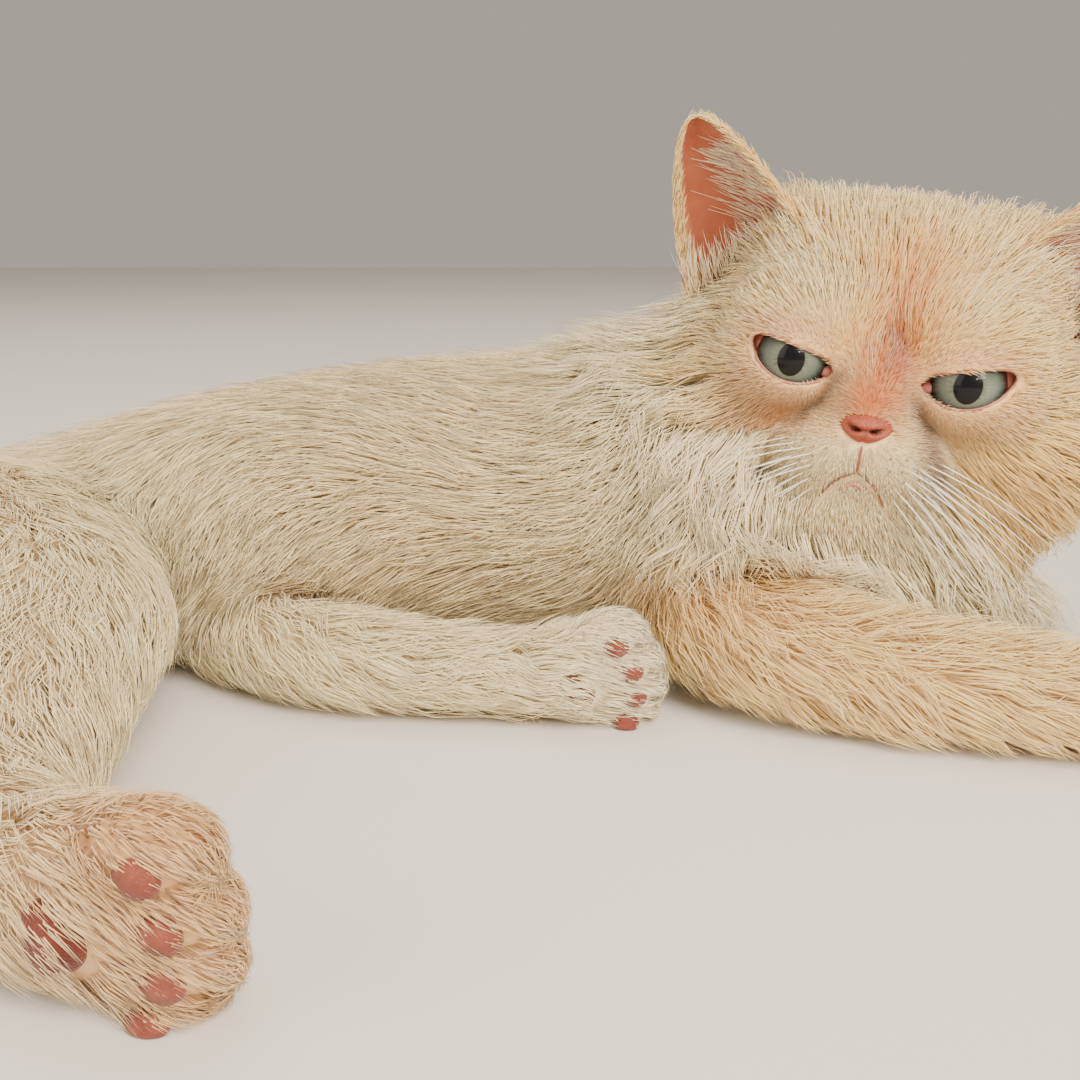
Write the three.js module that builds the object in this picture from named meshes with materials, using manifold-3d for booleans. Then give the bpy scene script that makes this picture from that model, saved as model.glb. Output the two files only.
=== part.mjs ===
// A Persian cat at life size, lying half on its left side with its head raised.
// Millimetres, +Z up. The head is at +X, the belly and both hind legs face -Y, the spine faces +Y,
// and z = 0 is the floor. The origin is on the floor under the belly.
import * as THREE from 'three';
import { mergeVertices } from 'three/addons/utils/BufferGeometryUtils.js';
import Module from 'manifold-3d';

const wasm = await Module();
wasm.setup();

// Driving dimensions
const SEAM = 0.35; // clear gap kept between neighbouring pieces
const EYE_SPACING = 47; // between the centres of the eyes
const EYE_RADIUS = 10.5;
const LID_THICKNESS = 1.8;
const EAR_HEIGHT = 42;
const EAR_WIDTH = 44;
const EAR_THICKNESS = 2.6;
const SKULL_CENTRE = [162, -10, 84];
const HEAD_YAW = -18; // degrees about +Z, towards the side that the belly faces
const HEAD_ROLL = 7; // degrees, crown leaning to the cat's left
const COAT = { body: 11, ruff: 17, leg: 6, thigh: 9, tail: 12 }; // how far the locks stand over each core
const LOCK_THICKNESS = 3;
const SPACING = 1.06; // of the locks in a row, in shares of their width

const degrees = (angle) => (angle * Math.PI) / 180;
const vec = (x, y, z) => new THREE.Vector3(x, y, z);
const mix = (a, b, t) => a + (b - a) * t;

// A repeatable random number from 0 to 1
let seed = 20611;
function random() {
  seed = (seed + 0x6d2b79f5) | 0;
  let t = Math.imul(seed ^ (seed >>> 15), 1 | seed);
  t = (t + Math.imul(t ^ (t >>> 7), 61 | t)) ^ t;
  return ((t ^ (t >>> 14)) >>> 0) / 4294967296;
}
const around = (middle, spread) => middle + spread * (2 * random() - 1);

// Geometry helpers

// A closed surface through rings of points, each ring having the same number of points.
// A ring may be a single repeated point at an end; the ends are closed by a fan.
function closedRings(rings) {
  const sides = rings[0].length;
  const points = rings.flat();
  const middle = (ring) => ring.reduce((sum, p) => sum.add(p), vec(0, 0, 0)).divideScalar(sides);
  const first = points.push(middle(rings[0])) - 1;
  const last = points.push(middle(rings[rings.length - 1])) - 1;
  const index = [];
  for (let r = 0; r < rings.length - 1; r++) {
    for (let k = 0; k < sides; k++) {
      const a = r * sides + k;
      const b = r * sides + ((k + 1) % sides);
      index.push(a, b, b + sides, a, b + sides, a + sides);
    }
  }
  const end = (rings.length - 1) * sides;
  for (let k = 0; k < sides; k++) {
    const next = (k + 1) % sides;
    index.push(first, next, k, last, end + k, end + next);
  }
  return outwardGeometry(points, index);
}

// An indexed geometry whose faces point outwards, whichever way round they were listed.
function outwardGeometry(points, index) {
  let volume = 0;
  for (let i = 0; i < index.length; i += 3) {
    const [a, b, c] = [points[index[i]], points[index[i + 1]], points[index[i + 2]]];
    volume += a.dot(b.clone().cross(c));
  }
  const order = volume < 0 ? index.slice().reverse() : index;
  const geometry = new THREE.BufferGeometry().setFromPoints(points);
  geometry.setIndex(order);
  return geometry;
}

function solidOf(geometry) {
  const bare = geometry.clone();
  bare.deleteAttribute('normal');
  bare.deleteAttribute('uv');
  const merged = mergeVertices(bare, 1e-4);
  const mesh = new wasm.Mesh({
    numProp: 3,
    vertProperties: new Float32Array(merged.attributes.position.array),
    triVerts: new Uint32Array(merged.index.array),
  });
  return new wasm.Manifold(mesh);
}

const union = (solids) => wasm.Manifold.union(solids);

// A tube through stations [x, y, z, side radius, up radius]. Side is level and square to the path,
// and up completes the frame, unless both are fixed. Power 2 gives an ellipse, more is squarer.
class Tube {
  constructor(stations, { fixed = null, power = 2 } = {}) {
    this.power = power;
    this.fixed = fixed;
    this.path = new THREE.CatmullRomCurve3(stations.map((s) => vec(s[0], s[1], s[2])));
    this.sizes = new THREE.CatmullRomCurve3(stations.map((s) => vec(s[3], s[4] ?? s[3], 0)));
    this.length = this.path.getLength();
  }

  axes(tangent) {
    if (this.fixed) return this.fixed;
    const side = vec(0, 0, 1).cross(tangent).normalize();
    return [side, tangent.clone().cross(side)];
  }

  // The point at share s of the length, angle phi round the tube, and height above its surface.
  // Past either end it goes straight on.
  at(s, phi, height = 0) {
    const inside = Math.min(Math.max(s, 0), 1);
    const t = this.path.getUtoTmapping(inside);
    const tangent = this.path.getTangent(t);
    const centre = this.path.getPoint(t).addScaledVector(tangent, (s - inside) * this.length);
    const [side, up] = this.axes(tangent);
    const size = this.sizes.getPoint(t);
    const bulge = (x) => Math.sign(x) * Math.abs(x) ** (2 / this.power);
    return centre
      .addScaledVector(side, (size.x + height) * bulge(Math.cos(phi)))
      .addScaledVector(up, (size.y + height) * bulge(Math.sin(phi)));
  }

  // The core under a coat of some depth, grown all over by a margin. Underneath, where the coat is
  // pressed flat, the core reaches the outline.
  core(depth, grow, rings, sides, from = 0, to = 1) {
    const free = (phi) => Math.min(1, Math.max(0, (Math.sin(phi) + 0.9) / 0.5));
    const made = [];
    for (let r = 0; r <= rings; r++) {
      const s = mix(from, to, r / rings);
      const onward = r === 0 ? -grow : r === rings ? grow : 0;
      const step = this.path.getTangentAt(s).multiplyScalar(onward);
      const ring = Array.from({ length: sides }, (_, k) => (k / sides) * 2 * Math.PI);
      made.push(ring.map((phi) => this.at(s, phi, grow - depth * free(phi)).add(step)));
    }
    return solidOf(closedRings(made));
  }
}

// Floor

const floorBlock = (() => {
  const block = new THREE.BoxGeometry(1200, 1200, 200);
  block.translate(0, 0, -100);
  return solidOf(block);
})();
const aboveFloor = (solid) => solid.subtract(floorBlock);

// Head, in its own frame: a to the cat's left, b backwards, c upwards, from the skull's centre

const headTurn = new THREE.Matrix4()
  .makeTranslation(...SKULL_CENTRE)
  .multiply(new THREE.Matrix4().makeRotationZ(degrees(HEAD_YAW)))
  .multiply(new THREE.Matrix4().makeRotationY(degrees(HEAD_ROLL)));
const toWorld = (a, b, c) => vec(a, b, c).applyMatrix4(headTurn);

const SKULL = { centre: [0, 2, 13], radii: [53, 42, 41] };
const CHEEK = { centre: [33, -4, -9], radii: [34, 30, 29] };
const BROW = { centre: [21, -31, 18], radii: [19, 13, 11] };
const MUZZLE_PAD = { centre: [9.5, -39, -18], radii: [13.5, 11.5, 10.5] };
const CHIN = { centre: [0, -34, -32], radii: [15, 12, 10] };
const BRIDGE = { centre: [0, -38, 0], radii: [11, 10, 14] };
const ORBIT = { centre: [23.5, -28, 6], radii: [19, 14, 15] };
const EYE = { a: EYE_SPACING / 2, b: -32.5, c: 6 };

const headForms = [
  [SKULL.centre, SKULL.radii],
  [CHIN.centre, CHIN.radii],
  [BRIDGE.centre, BRIDGE.radii],
  ...[CHEEK, BROW, ORBIT, MUZZLE_PAD].flatMap(({ centre: [a, b, c], radii }) => [
    [[a, b, c], radii],
    [[-a, b, c], radii],
  ]),
];

// Distance to an ellipsoid, exact enough near its surface.
function ellipsoidDistance(p, centre, radii) {
  const q = p.map((x, i) => (x - centre[i]) / radii[i]);
  const g = q.map((x, i) => x / radii[i]);
  const k = Math.hypot(...q);
  return (k * (k - 1)) / Math.max(Math.hypot(...g), 1e-6);
}

const HEAD_BLEND = 7;
function headDistance(p) {
  let d = 1e3;
  for (const [centre, radii] of headForms) {
    const e = ellipsoidDistance(p, centre, radii);
    const h = Math.max(HEAD_BLEND - Math.abs(d - e), 0) / HEAD_BLEND;
    d = Math.min(d, e) - (h * h * HEAD_BLEND) / 4;
  }
  return d;
}

// The head's surface, by its angle theta from the face's axis and phi round that axis.
const head = {
  length: 52, // millimetres for one radian of theta
  at(theta, phi, height = 0) {
    const dir = [Math.sin(theta) * Math.cos(phi), -Math.cos(theta), Math.sin(theta) * Math.sin(phi)];
    let [low, high] = [5, 110];
    for (let i = 0; i < 24; i++) {
      const r = (low + high) / 2;
      if (headDistance(dir.map((x) => x * r)) < 0) low = r;
      else high = r;
    }
    return toWorld(...dir.map((x) => x * (low + height)));
  },
  solid(height, rings, sides) {
    const made = [];
    for (let r = 1; r < rings; r++) {
      const share = r / rings;
      const theta = Math.PI * mix(share, share * share, 0.45);
      made.push(Array.from({ length: sides }, (_, k) => this.at(theta, (k / sides) * 2 * Math.PI, height)));
    }
    return solidOf(closedRings(made));
  },
};

// The point of the face at (a, c), lifted off it towards the viewer.
function onFace(a, c, lift = 0) {
  let [low, high] = [-80, 0];
  for (let i = 0; i < 24; i++) {
    const b = (low + high) / 2;
    if (headDistance([a, b, c]) < 0) high = b;
    else low = b;
  }
  return toWorld(a, low - lift, c);
}

// A round tube through points, tapering at both ends.
function cordAlong(points, radius, sides = 4, steps = 6) {
  const path = new THREE.CatmullRomCurve3(points);
  const rings = [];
  for (let i = 0; i <= steps; i++) {
    const t = i / steps;
    const tangent = path.getTangent(t);
    const side = vec(0.13, 0.9, 0.4).cross(tangent).normalize();
    const up = tangent.clone().cross(side);
    const r = radius * Math.sqrt(Math.max(0.08, 1 - (2 * t - 1) ** 4));
    rings.push(
      Array.from({ length: sides }, (_, k) => {
        const angle = (k / sides) * 2 * Math.PI;
        return path
          .getPoint(t)
          .addScaledVector(side, r * Math.cos(angle))
          .addScaledVector(up, r * Math.sin(angle));
      }),
    );
  }
  return solidOf(closedRings(rings));
}

// An eyeball, or its socket when a gap is given.
function eyeSphere(sign, gap = 0, across = 13, down = 8) {
  const geometry = new THREE.SphereGeometry(EYE_RADIUS + gap, across, down);
  geometry.translate(sign * EYE.a, EYE.b, EYE.c);
  geometry.applyMatrix4(headTurn);
  return solidOf(geometry);
}

// The two lids of one eye: a shell over the eyeball, opened along a slit that slants down to the nose.
const LID_SLANT = 12; // degrees
const LID_UPPER = 4.2; // height of the upper lid's edge over the eye's centre
const LID_LOWER = 6.2; // depth of the lower lid's edge under it
function withLids(face, sign) {
  const slit = new THREE.SphereGeometry(1, 14, 6);
  slit.scale(EYE_RADIUS * 1.02, EYE_RADIUS * 0.9, (LID_UPPER + LID_LOWER) / 2 + 0.6);
  slit.rotateY(degrees(sign * LID_SLANT));
  slit.translate(sign * EYE.a, EYE.b - EYE_RADIUS, EYE.c + (LID_UPPER - LID_LOWER) / 2);
  slit.applyMatrix4(headTurn);
  const closed = face.add(eyeSphere(sign, SEAM + LID_THICKNESS));
  return closed.subtract(solidOf(slit)).subtract(eyeSphere(sign, SEAM));
}

function makeHead(height) {
  const drawn = (points) => points.map(([a, c, lift]) => onFace(a, c, lift));
  const lips = [
    drawn([[-15, -29, -0.6], [-8, -25.5, 0.4], [0, -20.5, 0.6], [8, -25.5, 0.4], [15, -29, -0.6]]),
    drawn([[0, -11, 0.8], [0, -15.5, 0.8], [0, -20.5, 0.8]]),
  ];
  const lowerLip = drawn([[-9, -28.5, 0], [0, -25.5, 0.6], [9, -28.5, 0]]);
  let made = head.solid(height, 18, 28);
  for (const sign of [-1, 1]) {
    if (height > 0) made = made.add(eyeSphere(sign, 2 * SEAM + LID_THICKNESS));
    else made = withLids(made, sign);
  }
  if (height === 0) for (const line of lips) made = made.subtract(cordAlong(line, 1.3));
  return made.add(cordAlong(lowerLip, 1.7 + height));
}

// Nose leather with its two nostrils, set on the face over the mouth
const NOSE = { c: -8.5, width: 14.5, height: 9 };
function makeNose() {
  const front = onFace(0, NOSE.c, -1.2);
  const local = front.clone().applyMatrix4(headTurn.clone().invert());
  const shape = new THREE.SphereGeometry(1, 12, 7);
  shape.scale(NOSE.width / 2, 5, NOSE.height / 2);
  shape.translate(0, local.y, NOSE.c);
  shape.applyMatrix4(headTurn);
  const septum = new THREE.SphereGeometry(1, 8, 5);
  septum.scale(2.6, 3.5, 4);
  septum.translate(0, local.y - 0.5, NOSE.c - 4);
  septum.applyMatrix4(headTurn);
  let made = solidOf(shape).add(solidOf(septum));
  for (const sign of [-1, 1]) {
    const nostril = new THREE.SphereGeometry(1, 8, 5);
    nostril.scale(2.7, 3, 1.1);
    nostril.rotateY(degrees(sign * 18));
    nostril.translate(sign * 4, local.y - 4.6, NOSE.c - 0.6);
    nostril.applyMatrix4(headTurn);
    made = made.subtract(solidOf(nostril));
  }
  return made;
}

// Ear: a cupped leaf, open towards the front, its root sunk in the skull
const EAR = { a: 50, b: -5, c: 37, lean: 26, open: 22 };
function makeEar(sign, grow = 0) {
  const rows = 7;
  const columns = 6;
  const skin = (lift) =>
    Array.from({ length: rows + 1 }, (_, r) => {
      const u = r / rows;
      const half = (EAR_WIDTH / 2) * Math.sqrt(1 - u * u * 0.985) * (1 - 0.3 * u);
      return Array.from({ length: columns + 1 }, (_, k) => {
        const v = (k / columns) * 2 - 1;
        const cup = 13 * (1 - u * 0.75) * (1 - v * v);
        return vec(v * half, cup + lift - 4 * u, u * EAR_HEIGHT - 8);
      });
    });
  const place = new THREE.Matrix4()
    .makeTranslation(sign * EAR.a, EAR.b, EAR.c)
    .multiply(new THREE.Matrix4().makeRotationY(degrees(sign * EAR.lean)))
    .multiply(new THREE.Matrix4().makeRotationZ(degrees(sign * EAR.open)));
  const half = EAR_THICKNESS / 2 + grow;
  const faces = [skin(-half), skin(half)];
  const rings = faces[0].map((row, r) => [...row, ...faces[1][r].slice().reverse()]);
  const geometry = closedRings(rings);
  geometry.applyMatrix4(headTurn.clone().multiply(place));
  return solidOf(geometry);
}

// Trunk, from rump to chest, and the neck with its ruff, which stands on the chest

const trunk = new Tube([
  [-166, -8, 26, 12, 12],
  [-155, -8, 28, 34, 24],
  [-130, -5, 29, 54, 29],
  [-100, 0, 32, 62, 33],
  [-60, 8, 37, 66, 39],
  [-20, 14, 41, 69, 44],
  [30, 18, 44, 69, 47],
  [75, 16, 45, 67, 47],
  [110, 8, 44, 60, 45],
  [140, -2, 40, 44, 38],
  [158, -8, 36, 22, 22],
], { fixed: [vec(0, 1, 0), vec(0, 0, 1)] });
const TRUNK_SPLIT = 0.635; // share of the trunk's length at which the belly meets the chest

const neck = new Tube(
  [
    [128, -15, -8, 48, 44],
    [129, -16, 8, 62, 52],
    [132, -17, 26, 70, 53],
    [138, -13, 44, 74, 46],
    [147, -3, 60, 76, 40],
    [158, 7, 80, 72, 40],
    [165, 12, 100, 56, 36],
    [168, 13, 114, 28, 20],
  ],
  {
    fixed: [vec(1, 0, 0), vec(0, 1, 0)].map((axis) => axis.applyAxisAngle(vec(0, 0, 1), degrees(HEAD_YAW))),
    power: 2.6,
  },
);

// The nape, which carries the neck's coat from the back of the skull down to the shoulders
const nape = new Tube([
  [92, 20, 50, 50, 40],
  [122, 20, 62, 52, 42],
  [150, 17, 78, 48, 40],
  [170, 10, 94, 38, 32],
]);

// Legs, each from its root in the trunk to the paw

const legs = {
  foreleg_right: new Tube([
    [98, -22, 32, 18, 18],
    [106, -48, 23, 20, 19],
    [126, -68, 19, 19, 18.5],
    [158, -81, 17, 17.5, 17],
    [194, -91, 15, 15.5, 15],
    [222, -99, 14, 14, 13.5],
  ]),
  foreleg_left: new Tube([
    [120, 26, 22, 18, 18],
    [148, 28, 18, 17, 17],
    [176, 20, 15, 15, 15],
    [192, 6, 14, 13.5, 13],
  ]),
  hindleg_right: new Tube([
    [-122, -8, 30, 30, 26],
    [-94, -46, 35, 40, 33],
    [-68, -84, 32, 39, 31],
    [-60, -118, 27, 33, 26.5],
    [-54, -148, 22, 27, 22],
    [-42, -170, 19, 22, 19],
    [-26, -182, 18, 18, 17.5],
  ]),
  hindleg_left: new Tube([
    [-66, 0, 20, 20, 19],
    [-36, -30, 17, 19, 17],
    [-4, -56, 15, 17, 15.5],
    [28, -66, 14, 15, 14.5],
    [56, -70, 13, 13.5, 13.5],
  ]),
};

// Paws: a palm, four toes and the pads under them. Forward and sole are directions in plan and space.

const paws = {
  forepaw_right: {
    centre: [237, -103, 13.5],
    forward: [0.95, -0.3, 0],
    sole: [0, 0, -1],
    size: 1.05,
  },
  forepaw_left: {
    centre: [194, -12, 12.5],
    forward: [0, -1, 0],
    sole: [0, 0, -1],
    size: 0.98,
  },
  hindpaw_right: {
    centre: [-12, -188, 17.5],
    forward: [0.94, -0.3, -0.1],
    sole: [-0.2, -0.95, -0.1],
    size: 1.2,
  },
  hindpaw_left: {
    centre: [73, -71, 13.5],
    forward: [0.97, -0.12, 0.12],
    sole: [-0.05, -0.98, -0.2],
    size: 0.95,
  },
};
const PALM = [17, 13.5, 12]; // half length, half width and half depth of a palm
const TOE = [9.5, 5.6, 7.5];
const TOE_FAN = 8.2; // spacing of the toes across the paw
const PAD = { palm: [6.2, 7.4, 3], toe: [4.6, 3.7, 2.6] };

function makePaw({ centre, forward, sole, size }, grow = 0) {
  const x = vec(...forward).normalize();
  const z = vec(...sole).negate();
  const y = z.clone().cross(x).normalize();
  z.crossVectors(x, y).normalize();
  const frame = new THREE.Matrix4().makeBasis(x, y, z).setPosition(...centre);
  const part = (at, radii, across, down) => {
    const geometry = new THREE.SphereGeometry(1, across, down);
    geometry.scale(...radii.map((r) => r * size + grow));
    geometry.translate(...at.map((v) => v * size));
    geometry.applyMatrix4(frame);
    return solidOf(geometry);
  };
  const pieces = [part([-2, 0, 0], PALM, 10, 5)];
  for (let t = 0; t < 4; t++) {
    const across = (t - 1.5) * TOE_FAN;
    const ahead = 12 - Math.abs(t - 1.5) * 3;
    pieces.push(part([ahead, across, -1.5], TOE, 7, 4));
    pieces.push(part([ahead + 2, across, -8], PAD.toe, 5, 3));
  }
  pieces.push(part([-3, 0, -10.5], PAD.palm, 7, 3));
  return union(pieces);
}

// Tail, laid in a curve on the floor

const tail = new Tube([
  [-146, 2, 22, 22, 20],
  [-180, -8, 24, 27, 24],
  [-208, -40, 25, 29, 25.5],
  [-214, -84, 25, 29, 25.5],
  [-198, -124, 22, 25, 22.5],
  [-174, -146, 17, 15, 16],
]);
const TAIL_SPLIT = 0.52;
const TAIL_GAP = 0.0015;

// Locks

// Share of the length, share of the width, share of the rise, between a sunk root and a free tip
const LOCK_SHAPE = [
  [0.2, 1, 0.34],
  [0.5, 0.92, 0.58],
  [0.8, 0.52, 0.85],
];

// One flat, tapered lock of three sides. It leaves the surface at (s, phi), lies along s for its reach
// while it turns through an angle, and stands higher over the surface towards its tip. Grown, its
// sharp sides become blunt, so that it clears them too.
function lockOf(surface, { s, phi, reach, turn, width, rise, sink }, grow = 0) {
  const place = (t, across, level) => {
    const along = s + (reach * t) / surface.length;
    const angle = phi + turn * t * t;
    const step = 0.02;
    const span = surface.at(along, angle + step, level).distanceTo(surface.at(along, angle - step, level));
    return surface.at(along, angle + (across * 2 * step) / Math.max(span, 1e-3), level);
  };
  const ring = (t, share, level, thickness, under = grow) => {
    const half = (width * share) / 2 + 2 * grow;
    return [
      place(t, -half, level - under),
      place(t, half, level - under),
      place(t, half, level + 2 * grow),
      place(t, 0, level + thickness + 2 * grow),
      place(t, -half, level + 2 * grow),
    ];
  };
  const onward = (2 * grow) / Math.abs(reach);
  return solidOf(
    closedRings([
      ring(-onward, 0, -sink, 0, 4 * grow),
      ...LOCK_SHAPE.map(([t, share, lift]) => ring(t, share, rise * lift, LOCK_THICKNESS * mix(1, 0.7, t))),
      ring(1 + onward, 0, rise, 0),
    ]),
  );
}

// Staggered rows of locks over a surface. Each row is [s, width, reach, rise].
// Long is how much longer and higher they stand at an angle.
function locksOver(surface, rows, options) {
  const { from = 0, to = 2 * Math.PI, sway = 0.12, turn = () => 0, sink = 4, long = () => 1 } = options;
  const locks = [];
  rows.forEach(([s, width, reach, rise], row) => {
    const steps = 24;
    let girth = 0;
    for (let k = 0; k < steps; k++) {
      const [a, b] = [k, k + 1].map((i) => surface.at(s, mix(from, to, i / steps)));
      girth += a.distanceTo(b);
    }
    const count = Math.max(3, Math.round(girth / (width * SPACING)));
    for (let k = 0; k < count; k++) {
      const phi = mix(from, to, (k + 0.25 + 0.5 * (row % 2)) / count) + around(0, 0.1 / count);
      locks.push({
        surface,
        s: s + around(0, 0.1 * Math.abs(reach)) / surface.length,
        phi,
        reach: reach * around(1, 0.12) * Math.sqrt(long(phi)),
        turn: turn(phi) + sway * Math.sin(2.3 * phi + 1.9 * row) + around(0, sway / 4),
        width: width * around(1, 0.05),
        rise: rise * around(0.95, 0.1) * long(phi),
        sink,
      });
    }
  });
  return locks;
}

// Every core, whole, and grown by the seam so that its neighbours can be cut clear of it
const cores = {};
const grown = {};
const cleared = {}; // grown a little more, for the locks
function core(name, make) {
  cores[name] = aboveFloor(make(0));
  grown[name] = make(SEAM);
  cleared[name] = make(SEAM + 0.15);
}

core('eye_left', (g) => eyeSphere(1, g));
core('eye_right', (g) => eyeSphere(-1, g));
core('head', (g) => makeHead(g));
core('nose', () => makeNose());
core('ear_left', (g) => makeEar(1, g));
core('ear_right', (g) => makeEar(-1, g));
core('neck', (g) => neck.core(COAT.ruff, g, 7, 16).add(nape.core(COAT.ruff, g, 4, 12)));
core('chest', (g) => trunk.core(COAT.body, g, 5, 16, TRUNK_SPLIT + 0.001, 1));
core('belly', (g) => trunk.core(COAT.body, g, 8, 16, 0, TRUNK_SPLIT));
for (const [name, paw] of Object.entries(paws)) core(name, (g) => makePaw(paw, g));
for (const [name, leg] of Object.entries(legs)) {
  const depth = name === 'hindleg_right' ? COAT.thigh : COAT.leg;
  core(name, (g) => leg.core(depth, g, 7, 8));
}
core('tail_root', (g) => tail.core(COAT.tail, g, 4, 8, 0, TAIL_SPLIT));
core('tail_tip', (g) => tail.core(COAT.tail, g, 4, 8, TAIL_SPLIT + TAIL_GAP, 1));

// Whether every edge of a mesh is shared by two faces only
function isPaired({ vertProperties, triVerts }) {
  const place = (i) => [0, 1, 2].map((k) => vertProperties[3 * i + k].toFixed(3)).join();
  const places = Array.from({ length: vertProperties.length / 3 }, (_, i) => place(i));
  const shared = {};
  for (let i = 0; i < triVerts.length; i += 3) {
    const corners = [0, 1, 2].map((k) => places[triVerts[i + k]]);
    if (new Set(corners).size < 3) continue;
    for (const edge of [0, 1, 2].map((k) => [corners[k], corners[(k + 1) % 3]].sort().join(' '))) {
      shared[edge] = (shared[edge] ?? 0) + 1;
    }
  }
  return Object.values(shared).every((count) => count === 2);
}

const largest = (solid) => solid.decompose().reduce((a, b) => (b.volume() > a.volume() ? b : a));

// Each core is cut clear of those before it in this order, and keeps its largest piece
const solids = {};
const placed = [];
for (const name of Object.keys(cores)) {
  let made = cores[name];
  if (!name.startsWith('eye') && name !== 'head') {
    for (const before of placed) made = made.subtract(grown[before]);
  }
  solids[name] = largest(made);
  placed.push(name);
}

// The same surface with its height counted from its core
const overCore = (surface, depth) => ({
  length: surface.length,
  at: (s, phi, height = 0) => surface.at(s, phi, height - depth),
});

const trunkCore = overCore(trunk, COAT.body);
const rowsAlong = (from, to, pitch, length, make) => {
  const count = Math.max(1, Math.round((Math.abs(to - from) * length) / pitch));
  return Array.from({ length: count + 1 }, (_, i) => make(mix(from, to, i / count)));
};
const trunkRow = (s) => [s, 34, -54, COAT.body];
const overBack = { from: degrees(-40), to: degrees(225) };
const coats = {
  head: locksOver(
    head,
    [
      [1.12, 29, 34, 5],
      [1.62, 30, 36, 6],
      [2.15, 28, 32, 6],
    ],
    {
      from: degrees(-62),
      to: degrees(242),
      turn: (phi) => -0.25 * Math.cos(phi),
      sink: 3,
      long: (phi) => 1 + 1.2 * Math.max(0, 0.35 - Math.sin(phi)),
    },
  ),
  neck: [
    ...locksOver(
      overCore(neck, COAT.ruff),
      [
        [0.46, 32, -44, COAT.ruff],
        [0.35, 32, -34, COAT.ruff],
        [0.24, 32, -22, COAT.ruff * 0.8],
      ],
      { from: degrees(165), to: degrees(390), turn: (phi) => -0.1 * Math.cos(phi), sink: 4 },
    ),
    ...locksOver(
      overCore(nape, COAT.ruff),
      [
        [0.74, 32, -50, COAT.ruff],
        [0.42, 34, -50, COAT.ruff],
      ],
      { from: degrees(-20), to: degrees(200), sink: 5 },
    ),
  ],
  chest: locksOver(trunkCore, rowsAlong(0.97, 0.7, 30, trunk.length, trunkRow), overBack),
  belly: locksOver(trunkCore, rowsAlong(0.62, 0.06, 32, trunk.length, trunkRow), overBack),
};
const legCoat = (name, depth, from, to, pitch, width, reach) => {
  const leg = legs[name];
  const rows = rowsAlong(from, to, pitch, leg.length, (s) => [s, width, reach, depth]);
  return locksOver(overCore(leg, depth), rows, { from: degrees(-40), to: degrees(220), sink: 3 });
};
coats.foreleg_right = legCoat('foreleg_right', COAT.leg, 0.2, 0.8, 31, 22, 38);
coats.foreleg_left = legCoat('foreleg_left', COAT.leg, 0.25, 0.75, 30, 22, 34);
coats.hindleg_right = legCoat('hindleg_right', COAT.thigh, 0.16, 0.86, 32, 32, 48);
coats.hindleg_left = legCoat('hindleg_left', COAT.leg, 0.25, 0.85, 30, 22, 38);
const tailCoat = (from, to) => {
  const rows = rowsAlong(from, to, 30, tail.length, (s) => [s, 26, 48, COAT.tail]);
  return locksOver(overCore(tail, COAT.tail), rows, { from: degrees(-30), to: degrees(210), sink: 3 });
};
coats.tail_root = tailCoat(0.14, 0.46);
coats.tail_tip = tailCoat(0.56, 0.94);

// A lock is set where it clears every other core and the locks of the nodes before it. One that
// doesn't is shortened or lifted, and where it still touches by a little it is cut clear.
const LOCK_TRIALS = [
  { reach: 1, rise: 1 },
  { reach: 0.85, rise: 1.15 },
  { reach: 0.7, rise: 1.3 },
  { reach: 0.5, rise: 1.1 },
];
const CUT_SHARE = 0.25;
const CROSSING_SHARE = { chest: 0.4 }; // of a lock, that may be cut away by the locks before it
const YIELDS = { neck: ['foreleg_right', 'chest'] }; // cores that are cut clear of another's locks
const lockGrown = [];
for (const [name, locks] of Object.entries(coats)) {
  const yielding = YIELDS[name] ?? [];
  const others = Object.keys(cleared)
    .filter((other) => other !== name && !yielding.includes(other))
    .map((other) => cleared[other]);
  let made = solids[name];
  const ownGrown = [];
  for (const lock of locks) {
    const { surface, ...shape } = lock;
    const root = surface.at(shape.s, shape.phi);
    if (root.z < 7) continue;
    for (const trial of LOCK_TRIALS) {
      const tried = { ...shape, reach: shape.reach * trial.reach, rise: shape.rise * trial.rise };
      const whole = lockOf(surface, tried);
      const touches = (other) => !whole.intersect(other).isEmpty();
      const crossed = lockGrown.filter(touches);
      const touching = [...crossed, ...others.filter(touches)];
      const loss = crossed.length ? (CROSSING_SHARE[name] ?? 0) : CUT_SHARE;
      const left = touching.reduce((solid, other) => solid.subtract(other), whole);
      if (left.isEmpty() || largest(left).volume() < whole.volume() * (1 - loss)) continue;
      const joined = made.add(largest(left));
      if (!isPaired(joined.getMesh())) continue;
      made = joined;
      ownGrown.push(lockOf(surface, tried, SEAM + 0.1));
      break;
    }
  }
  lockGrown.push(union(ownGrown));
  for (const other of yielding) solids[other] = largest(solids[other].subtract(lockGrown.at(-1)));
  solids[name] = largest(aboveFloor(made));
}

// Colours

const finish = (color, roughness) => new THREE.MeshStandardMaterial({ color, roughness, metalness: 0 });
const coat = finish(0xe6d9c6, 0.85);
const point = finish(0xd9b98a, 0.85);
const leather = finish(0xc9776e, 0.5);
const iris = finish(0x6f7f72, 0.1);
const materialOf = (name) => {
  if (name.startsWith('eye')) return iris;
  if (name === 'nose') return leather;
  if (name.startsWith('ear') || name.startsWith('tail')) return point;
  return coat;
};

// Finished surfaces

const TOLERANCES = [0.1, 0.08, 0.12, 0.06, 0.14, 0.04, 0.16, 0.02]; // by which a surface may be simplified
const SHORTEST_EDGE = 0.04;

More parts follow.
